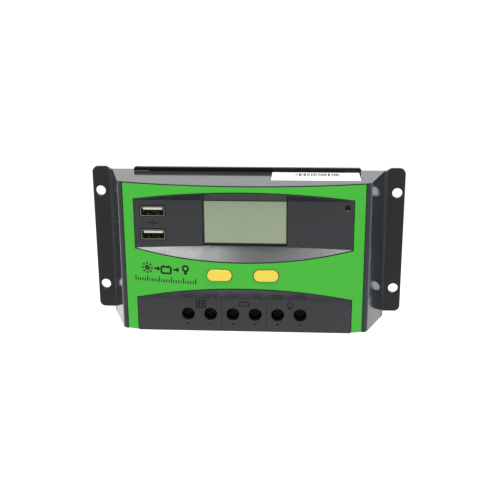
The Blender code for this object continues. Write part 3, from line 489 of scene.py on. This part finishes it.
def window(low, high, corner):
    """A straight cutter for a window in the panel, and a wider one for its chamfer."""
    low, high = Vector((low[0], 0, low[1])), Vector((high[0], 0, high[1]))
    grow = 2 * Vector((CHAMFER, 0, CHAMFER))
    straight = block((low.x, PANEL_Y - MM, low.z), (high.x, BEHIND_PANEL, high.z), corner)
    wide = block(low - grow + Vector((0, PANEL_Y - CHAMFER, 0)),
                 high + grow + Vector((0, PANEL_Y + 2 * CHAMFER, 0)), corner + 2 * CHAMFER)
    middle, size = (low + high) / 2, high - low + 2 * grow
    for vertex in wide.verts:
        if vertex.co.y > PANEL_Y:
            vertex.co.x -= (vertex.co.x - middle.x) * 6 * CHAMFER / size.x
            vertex.co.z -= (vertex.co.z - middle.z) * 6 * CHAMFER / size.z
    return straight, wide


openings = [window((LCD_LOW.x - GAP, WINDOW_BOTTOM), (LCD_HIGH.x + GAP, LCD_HIGH.z + GAP), 0.4 * MM)]
for z in USB_Z.values():
    openings.append(window((USB_X - USB_HALF.x - GAP, z - USB_HALF.z - GAP),
                           (USB_X + USB_HALF.x + GAP, z + USB_HALF.z + GAP), 0.7 * MM))
reach = LAMP_HALF + GAP
openings.append(window((LAMP.x - reach, LAMP.z - reach), (LAMP.x + reach, LAMP.z + reach), 0.2 * MM))
straight, wide = [list(each) for each in zip(*openings)]
for x in ACCESS_X:
    straight.append(rod(x, ACCESS_Z, PANEL_Y - MM, BEHIND_PANEL, ACCESS_RADIUS))
    wide.append(rod(x, ACCESS_Z, PANEL_Y - CHAMFER, PANEL_Y + 2 * CHAMFER, ACCESS_RADIUS + 2 * CHAMFER,
                    ACCESS_RADIUS - CHAMFER))


def stadium(x, grow, front, rear):
    """The outline of a button, grown, from front to rear."""
    half = BUTTON_HALF + Vector((grow, 0, grow))
    return block((x - half.x, front, BUTTON_Z - half.z), (x + half.x, rear, BUTTON_Z + half.z),
                 half.z * 0.999, segments=12)


def button_holes(grow):
    """Cutters for both buttons, right through the front."""
    return [stadium(x, grow, CROWN_Y - 3 * MM, CROWN_Y + 9 * MM) for x in BUTTON_X.values()]


straight += button_holes(WALL_HOLE_GAP)
entry_half = 3 * PITCH + ENTRY_SIDE
straight.append(block((-entry_half, ENTRY_FRONT, ENTRY_LOW), (entry_half, MAIN_BOARD_Y, ENTRY_HIGH)))
straight.append(block((-SPREADER_HALF - GAP, SPREADER_FRONT - GAP, CASE_TOP - 4 * MM),
                      (SPREADER_HALF + GAP, SPREADER_REAR + GAP, CASE_TOP + MM)))
straight.append(block((LABEL_LOW.x - GAP, LABEL_LOW.y - GAP, CASE_TOP - 0.4 * MM),
                      (LABEL_HIGH.x + GAP, LABEL_HIGH.y + GAP, CASE_TOP + MM), 1.0 * MM, axis=2))
straight += [rod(x, z, COVER_BORE_END, shell_high.y + MM, COVER_BORE_RADIUS, sides=24) for x, z in COVER_POSTS]
straight += [rod(x, z, BOARD_BORE_END, MAIN_BOARD_Y + MM, BOARD_BORE_RADIUS, sides=24) for x, z in BOARD_POSTS]
# two thin grooves part the terminals into pairs
GROOVE_WIDTH, GROOVE_DEPTH, GROOVE_TOP = 0.5 * MM, 0.35 * MM, LOWER_CEILING - 0.4 * MM
for x in (-PITCH, PITCH):
    straight.append(block((x - GROOVE_WIDTH / 2, PANEL_Y - MM, BOTTOM_REAR),
                          (x + GROOVE_WIDTH / 2, PANEL_Y + GROOVE_DEPTH, GROOVE_TOP)))
# over the display the ceiling of the recess is cut back a little
CEILING_CUT, CUT_REAR, CUT_FRONT = 0.35 * MM, PANEL_Y - 0.05 * MM, CROWN_Y - MM
ceiling, below = UPPER_CEILING + CEILING_CUT, UPPER_CEILING - MM
slope = prism([(CUT_REAR, below), (CUT_REAR, ceiling),
               (CUT_FRONT, ceiling + UPPER_SLOPE * (PANEL_Y - CUT_FRONT)), (CUT_FRONT, below)],
              LCD_LOW.x - 0.5 * MM, LCD_HIGH.x + 0.5 * MM, axis="X")
case = carve(case, cavity, joined(straight), slope, joined(wide))

# polished ABS: a dark grey with a clear gloss and a faint flow ripple
polished_abs = finish("polished_moulded_abs", "#24282c", 0.11, grain=6.0, relief=0.002, change=0.25, fade=0.03,
                      sockets={"IOR": 1.31})
# spark-eroded ABS: the mould's fine pits spread every reflection to a satin
eroded_abs = finish("spark_eroded_abs", "#13161b", 0.26, grain=0.9, relief=0.002, fade=0.02,
                    sockets={"IOR": 1.46})
piece("case_moulding", case, "case", ["front_shell"], "case_abs", polished_abs, eroded_abs)

# ------------------------------------------------------------ green trim
# A thin green ABS moulding, bowed like the front, is glued into the seat.  Its
# front edges are rounded, and it carries the two button holes.
TRIM_THICKNESS, TRIM_EDGE = 1.2 * MM, 0.22 * MM
AROUND = RIM + GAP
spots = steps(RECESS_HALF + AROUND, TRIM_HALF, 6)
spots = [-x for x in reversed(spots)] + steps(-RECESS_HALF - AROUND, RECESS_HALF + AROUND, 100)[1:-1] + spots
trim = bmesh.new()
bmesh.ops.create_grid(trim, x_segments=len(spots) - 1, y_segments=4, size=1)
row_of = trim.verts.layers.int.new("row")
for vertex in trim.verts:
    x = spots[round((vertex.co.x + 1) / 2 * (len(spots) - 1))]
    vertex[row_of] = round((vertex.co.y + 1) * 2)
    lower, middle, upper = arcs(x)
    z = (trim_low.z, lower + AROUND, middle - AROUND, upper + AROUND, trim_high.z)[vertex[row_of]]
    vertex.co = (x, bow(x), z)
gone = [f for f in trim.faces if abs(f.calc_center_median().x) < RECESS_HALF + AROUND
        and {v[row_of] for v in f.verts} in ({0, 1}, {2, 3})]
bmesh.ops.delete(trim, geom=gone, context="FACES")
risen = bmesh.ops.extrude_face_region(trim, geom=list(trim.faces), use_keep_orig=True)
for vertex in risen["geom"]:
    if isinstance(vertex, bmesh.types.BMVert):
        vertex.co.y = bow(vertex.co.x, TRIM_THICKNESS)
bmesh.ops.recalc_face_normals(trim, faces=trim.faces)
soften(trim, [e for e in creases(trim, 50) if all(v.co.y < bow(v.co.x) + 0.1 * MM for v in e.verts)], TRIM_EDGE)
trim = carve(trim, joined(button_holes(TRIM_HOLE_GAP)))

# gloss ABS in a leaf green: a clear, even skin over a deep colour
green_abs = finish("gloss_moulded_green_abs", "#2f9c20", 0.28, grain=7.0, relief=0.001, change=0.2, fade=0.01,
                   sockets={"IOR": 1.42})
piece("green_trim", trim, "case", ["face_trim"], "trim_green", green_abs)

# ------------------------------------------------------------ heat spreader
# A black anodised aluminium plate stands behind the boards; its upper edge
# leaves the case through a slot and spreads into a rail with rounded ends.
SPREADER_BOTTOM, RAIL_HALF, RAIL_TOP = -36.0 * MM, 67.2 * MM, 46.2 * MM
SPREADER_CORNER, RAIL_CORNER, RAIL_EDGE = 3.0 * MM, 1.2 * MM, 0.3 * MM
shoulder = CASE_TOP + GAP
outline = [(-SPREADER_HALF, SPREADER_BOTTOM), (SPREADER_HALF, SPREADER_BOTTOM), (SPREADER_HALF, shoulder),
           (RAIL_HALF, shoulder), (RAIL_HALF, RAIL_TOP), (-RAIL_HALF, RAIL_TOP), (-RAIL_HALF, shoulder),
           (-SPREADER_HALF, shoulder)]
spreader = prism(outline, SPREADER_FRONT, SPREADER_REAR, axis="Y")
soften(spreader, [e for e in uprights(spreader) if e.verts[0].co.z < 0], SPREADER_CORNER, 6)
soften(spreader, [e for e in uprights(spreader) if e.verts[0].co.z > RAIL_TOP - 0.01 * MM], RAIL_CORNER, 8)
soften(spreader, outlines(spreader), RAIL_EDGE, 3)

# black anodised aluminium: a hard dark oxide with the drawing lines of the bar along its length
anodised = finish("black_anodised_aluminium", "#0c0d0e", 0.22, grain=0.5, relief=0.002, change=0.3, fade=0.03,
                  stretch=(0.06, 1, 1), sockets={"IOR": 1.18})
piece("heat_rail", spreader, "case", ["heat_spreader"], "spreader_alloy", anodised)

# ------------------------------------------------------------ push buttons
# Two yellow ABS caps with rounded edges stand a little proud of the trim; a
# moulded collar behind the wall holds each one in.
CAP_FRONT, CAP_EDGE = bow(BUTTON_X["right"]) - 0.6 * MM, 0.55 * MM
COLLAR_FRONT, COLLAR_REAR, COLLAR_GROWTH, STEM_REAR = (v * MM for v in (-42.1, -41.1, 0.8, -38.9))
# satin ABS: a warm yellow whose gloss varies gently across the cap
yellow_abs = finish("satin_moulded_yellow_abs", "#d3b836", 0.36, grain=0.6, relief=0.004, fade=0.05,
                    sockets={"IOR": 1.52, "Subsurface Weight": 0.08, "Subsurface Scale": 0.0008})
for side, x in BUTTON_X.items():
    cap = stadium(x, 0.0, CAP_FRONT, STEM_REAR)
    soften(cap, [e for e in cap.edges if all(v.co.y < CAP_FRONT + 10 * SAME for v in e.verts)], CAP_EDGE, 5)
    cap = carve(cap, stadium(x, COLLAR_GROWTH, COLLAR_FRONT, COLLAR_REAR), operation="UNION")
    piece(f"push_button_{side}", cap, f"button_{side}", [f"button_cap_{side}"], "button_abs", yellow_abs)

# ------------------------------------------------------------ display
# A liquid crystal cell of two glasses: its front carries a matt polarising
# film, and a black bezel line shows round the viewing area.
FILM_LOW = LCD_LOW + Vector((0.6, -0.12, 0.35)) * MM
FILM_HIGH = Vector((LCD_HIGH.x, LCD_LOW.y, LCD_HIGH.z)) + Vector((-0.25, 0.2, -0.1)) * MM


def second(work):
    """Gives a solid's faces the piece's second material."""
    for face in work.faces:
        face.material_index = 1
    return work


# cut glass edge and black mask: dark and clear
mask = finish("masked_glass", "#101213", 0.12, grain=2.0, relief=0.002, sockets={"IOR": 1.52})
# polariser: a grey-green field, matt enough to blur what it mirrors
polariser = finish("polarising_film", "#88947a", 0.30, grain=0.4, relief=0.002, change=0.15, fade=0.04,
                   sockets={"IOR": 1.49})
cell = block(LCD_LOW, LCD_HIGH, 0.2 * MM, 0.12 * MM)
film = second(block(FILM_LOW, FILM_HIGH, 0.15 * MM, 0.05 * MM))
piece("display_cell", joined([cell, film]), "case", ["lcd_glass"], "lcd_cell", mask, polariser)

# ------------------------------------------------------------ USB sockets
# Each socket is a folded shell of nickel-plated steel round a moulded white tongue
# with four contacts.  Two contact springs stand up from its floor.
USB_FRONT, USB_LENGTH, USB_SHEET = PANEL_Y - 0.4 * MM, 14.0 * MM, 0.5 * MM
SHEET = Vector((USB_SHEET, 0, USB_SHEET))
SPRING_HALF, SPRING_START, SPRING_END, SPRING_SUNK, SPRING_TALL = (v * MM for v in (0.9, 1.6, 6.5, 0.1, 0.75))
TONGUE_HALF, TONGUE_TALL, TONGUE_START, TONGUE_DROP = (v * MM for v in (5.55, 1.3, 0.8, 0.5))
CONTACT_HALF, CONTACT_START, CONTACT_END = (v * MM for v in (0.5, 2.2, 9.5))
CONTACT_PROUD, CONTACT_SUNK = 0.06 * MM, 0.2 * MM
# nickel plate: a bright, slightly warm metal with faint drawing marks
nickel = finish("nickel_plated_steel", "#6f6a5c", 0.25, grain=0.3, relief=0.002, stretch=(1, 0.1, 1), fade=0.2,
                sockets={"Metallic": 1.0})
# glass-filled PBT: a matt, faintly translucent white
white_pbt = finish("moulded_white_pbt", "#c9c9c4", 0.42, grain=0.35, relief=0.004, fade=0.05)
# gold flash over bronze: a dark, warm metal, duller in patches
gold = finish("gold_flashed_bronze", "#4c3a22", 0.30, grain=0.3, relief=0.002, fade=0.25,
              sockets={"Metallic": 1.0})
for place, z in USB_Z.items():
    low = Vector((USB_X, USB_FRONT, z)) - USB_HALF
    high = Vector((USB_X, USB_FRONT + USB_LENGTH, z)) + USB_HALF
    inside = block(low + SHEET - Vector((0, MM, 0)), high - SHEET - Vector((0, USB_SHEET, 0)), 0.5 * MM)
    can = carve(block(low, high, 0.8 * MM, 0.12 * MM), inside)
    springs = [second(block((x - SPRING_HALF, USB_FRONT + SPRING_START, low.z + USB_SHEET - SPRING_SUNK),
                            (x + SPRING_HALF, USB_FRONT + SPRING_END, low.z + USB_SHEET + SPRING_TALL),
                            0.5 * MM, 0.1 * MM, axis=0)) for x in (USB_X - 2.9 * MM, USB_X + 2.9 * MM)]
    piece(f"usb_can_{place}", joined([can, *springs]), "case", [f"usb_shell_{place}"], "nickel_shell",
          nickel, gold)

    top = high.z - USB_SHEET - TONGUE_DROP
    under = top - TONGUE_TALL
    tongue = block((USB_X - TONGUE_HALF, USB_FRONT + TONGUE_START, under),
                   (USB_X + TONGUE_HALF, high.y - USB_SHEET - GAP, top), 0.25 * MM, 0.15 * MM, axis=2)
    contacts = [second(block((x - CONTACT_HALF, USB_FRONT + CONTACT_START, under - CONTACT_PROUD),
                             (x + CONTACT_HALF, USB_FRONT + CONTACT_END, under + CONTACT_SUNK), 0, 0.03 * MM))
                for x in (USB_X + v * MM for v in (-3.5, -1.0, 1.0, 3.5))]
    piece(f"usb_tongue_{place}_white", joined([tongue, *contacts]), "case", [f"usb_tongue_{place}"],
          "pale_resin", white_pbt, gold)

# ------------------------------------------------------------ rating label
# A white vinyl label lies in a shallow pocket of the case's top.  It carries a
# bar pattern and two lines of dashes, in black, that stand for no word or number.
BARS_LEFT, BARS_RIGHT, BARS_LOW, BARS_HIGH = (v * MM for v in (29.0, 54.5, -20.0, -12.6))
DASH_LINES = ((-23.0, 27, 42), (-23.0, 49, 60), (-26.0, 50, 58))
INK = 0.02 * MM
# white vinyl: a soft satin film, slightly yellowed in patches
vinyl = finish("white_vinyl_film", "#cfcfcd", 0.42, grain=1.2, relief=0.002, fade=0.04)
# printing ink: a matt black film, slightly uneven where it went on thin
ink = finish("black_printing_ink", "#101211", 0.45, grain=0.3, relief=0.001, fade=0.03, sockets={"IOR": 1.25})


def bar(left, right, low, high):
    """A printed bar on the label."""
    return second(block((left, low, LABEL_HIGH.z - INK), (right, high, LABEL_HIGH.z + INK)))


label = [block(LABEL_LOW, LABEL_HIGH, 0.8 * MM, 0.05 * MM, axis=2)]
dice = random.Random(4)
x = BARS_LEFT
while x < BARS_RIGHT:
    width = dice.choice((0.35, 0.35, 0.7, 1.05)) * MM
    label.append(bar(x, x + width, BARS_LOW, BARS_HIGH))
    x += width + dice.choice((0.4, 0.4, 0.8)) * MM
for line, start, end in DASH_LINES:
    x = start * MM
    while x < end * MM:
        width = dice.uniform(0.6, 2.2) * MM
        label.append(bar(x, x + width, (line - 0.25) * MM, (line + 0.25) * MM))
        x += width + 0.7 * MM
piece("label_film", joined(label), "case", ["rating_label"], "label_vinyl", vinyl, ink)

# ------------------------------------------------------------ pictograms
# Pad printing on the trim shows what the controller does: sun, battery, lamp,
# and a graduated line under them.  The panels carry faint printed signs.  The
# functions below take millimetres.
PRINT_WIDTH, TICK_WIDTH, SIGN_WIDTH = 1.1, 0.62, 0.42
TICK_FOOT, TICK_TOP, LONG_TICK_TOP = -14.2, -12.4, -11.0


def stroke(x0, z0, x1, z1, width):
    """A straight printed stroke between two points."""
    along = Vector((x1 - x0, 0, z1 - z0)) * MM
    work = block((0, -INK, -width * MM / 2), (along.length, INK, width * MM / 2))
    turn = Matrix.Rotation(-math.atan2(along.z, along.x), 4, "Y")
    bmesh.ops.transform(work, verts=work.verts, matrix=Matrix.Translation((x0 * MM, 0, z0 * MM)) @ turn)
    return work


def ring(x, z, radius, width):
    """A printed ring."""
    disc = rod(x * MM, z * MM, -INK, INK, radius * MM)
    return carve(disc, rod(x * MM, z * MM, -MM, MM, (radius - width) * MM))


def sun(x, z, size, width):
    """A ring with eight short rays."""
    rays = [stroke(x + size * 0.68 * math.cos(a), z + size * 0.68 * math.sin(a), x + size * math.cos(a),
                   z + size * math.sin(a), width) for a in steps(0, math.tau, 8)[:-1]]
    return [ring(x, z, size * 0.45, width), *rays]


def battery(x, z, half, tall, width):
    """A frame with two poles on top."""
    corners = [(x - half, z - tall), (x + half, z - tall), (x + half, z + tall), (x - half, z + tall)]
    frame_lines = [stroke(*corners[i], *corners[j], width) for i, j in ((3, 2), (0, 1), (0, 3), (1, 2))]
    return frame_lines + [stroke(x + s * half * 0.55, z + tall, x + s * half * 0.55, z + tall * 1.5, width)
                          for s in (-1, 1)]


def lamp(x, z, size, width):
    """A ring with two lines for its foot."""
    foot = [stroke(x - size * 0.4, z - size * (1.1 + 0.35 * i), x + size * 0.4, z - size * (1.1 + 0.35 * i), width)
            for i in range(2)]
    return [ring(x, z, size, width), *foot]


def arrow(x, z, half, width):
    """An arrow to the right."""
    return [stroke(x - half, z, x + half, z, width), stroke(x + half * 0.3, z + half * 0.6, x + half, z, width),
            stroke(x + half * 0.3, z - half * 0.6, x + half, z, width)]


prints = sun(-55.4, -6.0, 3.3, PRINT_WIDTH) + arrow(-49.7, -6.1, 1.6, PRINT_WIDTH)
prints += battery(-44.2, -6.7, 2.8, 1.9, PRINT_WIDTH) + arrow(-38.4, -6.1, 1.6, PRINT_WIDTH)
prints += lamp(-32.8, -5.1, 2.1, PRINT_WIDTH)
for i, x in enumerate(steps(-62.6, -27.0, 25)):
    prints.append(stroke(x, TICK_FOOT, x, TICK_TOP if i % 5 else LONG_TICK_TOP, TICK_WIDTH))
marks = carve(prints[0], *prints[1:], operation="UNION")
for vertex in marks.verts:
    vertex.co.y += bow(vertex.co.x)
piece("trim_pictograms", marks, "case", [], None, ink)

# a solar panel, a battery and a lamp over the three pairs of terminals, plus and minus under
# them, and a ring between two dashes between the sockets
signs = []
for i in steps(-1.5, 1.5, 3):
    signs += [stroke(-25.2 + i * 1.8, -30.9, -25.2 + i * 1.8, -26.2, SIGN_WIDTH),
              stroke(-28.1, -28.5 + i * 1.45, -22.3, -28.5 + i * 1.45, SIGN_WIDTH)]
signs += battery(0, -28.2, 2.8, 1.2, SIGN_WIDTH) + lamp(26.8, -28.2, 1.8, SIGN_WIDTH)
for i, x in enumerate(v / MM for v in ACCESS_X):
    signs.append(stroke(x - 0.8, -40.6, x + 0.8, -40.6, SIGN_WIDTH))
    if i % 2 == 0:
        signs.append(stroke(x, -41.4, x, -39.8, SIGN_WIDTH))
signs += [ring(-51.4, 20.3, 1.2, SIGN_WIDTH), stroke(-54.6, 20.3, -52.9, 20.3, SIGN_WIDTH),
          stroke(-49.9, 20.3, -48.2, 20.3, SIGN_WIDTH)]
marks = carve(signs[0], *signs[1:], operation="UNION")
bmesh.ops.translate(marks, verts=marks.verts, vec=(0, PANEL_Y - INK, 0))
# the signs' ink: nearly black on the dark plastic, so that it shows only by its duller gloss
sign_ink = finish("pad_printed_dark_grey", "#020303", 0.45, grain=0.5, relief=0.003, fade=0.02,
                  sockets={"IOR": 1.15})
piece("terminal_signs", marks, "case", [], None, sign_ink)

# ------------------------------------------------------------ terminals
# Behind each access hole a combined-drive screw draws a steel cage up to the
# contact bar.  Screws and cages are zinc plated, in a near-black that is painted shade for deep wells.
HEAD_FRONT, HEAD_HEIGHT, HEAD_RADIUS = -35.9 * MM, 2.2 * MM, 3.2 * MM
SHANK_RADIUS, SHANK_LENGTH, THREAD, THREAD_DEPTH = 1.7 * MM, 7.8 * MM, 0.7 * MM, 0.28 * MM
SLOT_HALF, CROSS_HALF, DRIVE_HALF, DRIVE_DEPTH, SCREW_TURN = 3.4 * MM, 2.0 * MM, 0.45 * MM, 1.1 * MM, 35
CAGE_FRONT, CAGE_REAR, CAGE_HALF, CAGE_WALL, CAGE_TALL = (v * MM for v in (-27.1, -18.9, 4.6, 1.2, 4.5))
CAGE_BORE_RADIUS = 2.1 * MM
under = HEAD_FRONT + HEAD_HEIGHT
end = under + SHANK_LENGTH
profile = [(0, HEAD_FRONT), (HEAD_RADIUS - 0.6 * MM, HEAD_FRONT), (HEAD_RADIUS - 0.2 * MM, HEAD_FRONT + 0.15 * MM),
           (HEAD_RADIUS, HEAD_FRONT + 0.6 * MM), (HEAD_RADIUS, under), (SHANK_RADIUS, under)]
for y in steps(under + 0.4 * MM, end - 0.8 * MM, 9):
    profile += [(SHANK_RADIUS, y), (SHANK_RADIUS - THREAD_DEPTH, y + THREAD / 2)]
profile += [(SHANK_RADIUS - 0.5 * MM, end), (0, end)]
screw = bmesh.new()
line = [screw.verts.new((radius, y, 0)) for radius, y in profile]
for a, b in zip(line, line[1:]):
    screw.edges.new((a, b))
bmesh.ops.spin(screw, geom=list(screw.verts) + list(screw.edges), axis=(0, 1, 0), cent=(0, 0, 0), angle=math.tau,
               steps=40, use_merge=True)
bmesh.ops.remove_doubles(screw, verts=screw.verts, dist=0.002 * MM)
bmesh.ops.recalc_face_normals(screw, faces=screw.faces)
drive_front, drive_rear = HEAD_FRONT - MM, HEAD_FRONT + DRIVE_DEPTH
slot = block((-SLOT_HALF, drive_front, -DRIVE_HALF), (SLOT_HALF, drive_rear, DRIVE_HALF))
cross = block((-DRIVE_HALF, drive_front, -CROSS_HALF), (DRIVE_HALF, drive_rear, CROSS_HALF))
screw = carve(screw, slot, cross)
bmesh.ops.rotate(screw, verts=screw.verts, cent=(0, 0, 0),
                 matrix=Matrix.Rotation(math.radians(SCREW_TURN), 3, "Y"))

cage = block((-CAGE_HALF, CAGE_FRONT, -CAGE_TALL), (CAGE_HALF, CAGE_REAR, CAGE_TALL), 0.8 * MM, 0.15 * MM, axis=2)
hollow = block((CAGE_WALL - CAGE_HALF, CAGE_FRONT + CAGE_WALL, -CAGE_TALL - MM),
               (CAGE_HALF - CAGE_WALL, CAGE_REAR - CAGE_WALL, CAGE_TALL + MM), 0.4 * MM, axis=2)
cage = carve(cage, hollow, rod(0, 0, CAGE_FRONT - MM, CAGE_FRONT + CAGE_WALL + MM, CAGE_BORE_RADIUS, sides=32))

# zinc plate painted nearly black: painted shade standing in for deep, dark wells, with a sheen that varies
# slightly
zinc_painted_dark_for_shade = finish("zinc_painted_dark_as_well_shade", "#0d0d0e", 0.22, grain=0.4, relief=0.003, fade=0.02,
                   sockets={"Metallic": 1.0})
for number, x in enumerate(ACCESS_X, start=1):
    for kind, body, solid in (("terminal_screw", "screw", screw), ("clamp_cage", "cage", cage)):
        copy = solid.copy()
        bmesh.ops.translate(copy, verts=copy.verts, vec=(x, 0, ACCESS_Z))
        piece(f"{kind}_{number}_plated", copy, f"{body}_{number}", [f"{kind}_{number}"], "zinc_steel", zinc_painted_dark_for_shade)
for solid in (screw, cage):
    solid.free()

# ------------------------------------------------------------ what the case hides
# Boards, components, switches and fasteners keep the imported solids.  Each takes
# the finish of its own material.
METAL = {"Metallic": 1.0}
# solder mask over glass laminate: a satin green with a fine unevenness
green_laminate = finish("solder_masked_laminate", "#0f5a2c", 0.32, grain=1.6, relief=0.020, fade=0.06)
# transfer-moulded epoxy: a fine matt black
black_epoxy = finish("moulded_black_epoxy", "#191a1b", 0.48, grain=0.35, relief=0.004, fade=0.05)
# filled silicone: a dull, rubbery grey
grey_silicone = finish("thermal_silicone_pad", "#8b9296", 0.75, grain=0.6, relief=0.015, fade=0.08)
# unfilled PBT: a matt ivory
pale_pbt = finish("natural_pbt", "#d9d8d0", 0.45, grain=0.4, relief=0.004, fade=0.06)
# bright zinc plate: a cool metal, cloudy in patches
bright_zinc = finish("zinc_plated_steel", "#b9bcc0", 0.28, grain=0.4, relief=0.003, fade=0.12, sockets=METAL)
# tin over brass: a pale yellow metal with dull patches
tinned_brass = finish("tinned_brass", "#b99c5a", 0.30, grain=0.5, relief=0.003, fade=0.15, sockets=METAL)
# enamelled copper wire: a red metal under a clear glossy coat
enamelled_copper = finish("enamelled_copper", "#9a4a26", 0.26, grain=0.9, relief=0.06, fade=0.05,
                          sockets={**METAL, "Coat Weight": 0.6})
# shrunk PVC sleeve: a dark blue, softly glossy skin
printed_sleeve = finish("shrunk_pvc_sleeve", "#16265a", 0.34, grain=2.2, relief=0.010, fade=0.04)
# unpolished ABS: a quiet black that mirrors little
black_abs = finish("unpolished_moulded_abs", "#0b0b0c", 0.40, grain=0.6, relief=0.005, fade=0.02,
                   sockets={"IOR": 1.35})
# the lamp's window: a clear black resin that mirrors little and lets nothing through when it is off
smoked_lens = finish("smoked_lens_resin", "#020202", 0.20, grain=1.0, relief=0.001, fade=0.0,
                     sockets={"IOR": 1.25})
packed = {
    smoked_lens: ["status_lamp"],
    green_laminate: ["main_board", "display_board", "usb_board"],
    black_epoxy: ["display_header", "usb_header", "microcontroller", "lcd_tray",
                  "switch_body_left", "switch_body_right", *(f"mosfet_{i}" for i in range(1, 5))],
    pale_pbt: ["switch_plunger_left", "switch_plunger_right"],
    grey_silicone: ["insulating_pad"],
    bright_zinc: [f"{kind}_{i}" for kind in ("cover_screw", "board_screw") for i in range(1, 5)],
    tinned_brass: [f"contact_bar_{i}" for i in range(1, 7)],
    enamelled_copper: ["choke", "current_shunt"],
    printed_sleeve: ["capacitor_1", "capacitor_2"],
    black_abs: ["terminal_block"],
}
for paint, names in packed.items():
    for name in names:
        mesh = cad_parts[name].data
        mesh.materials.clear()
        mesh.materials.append(paint)
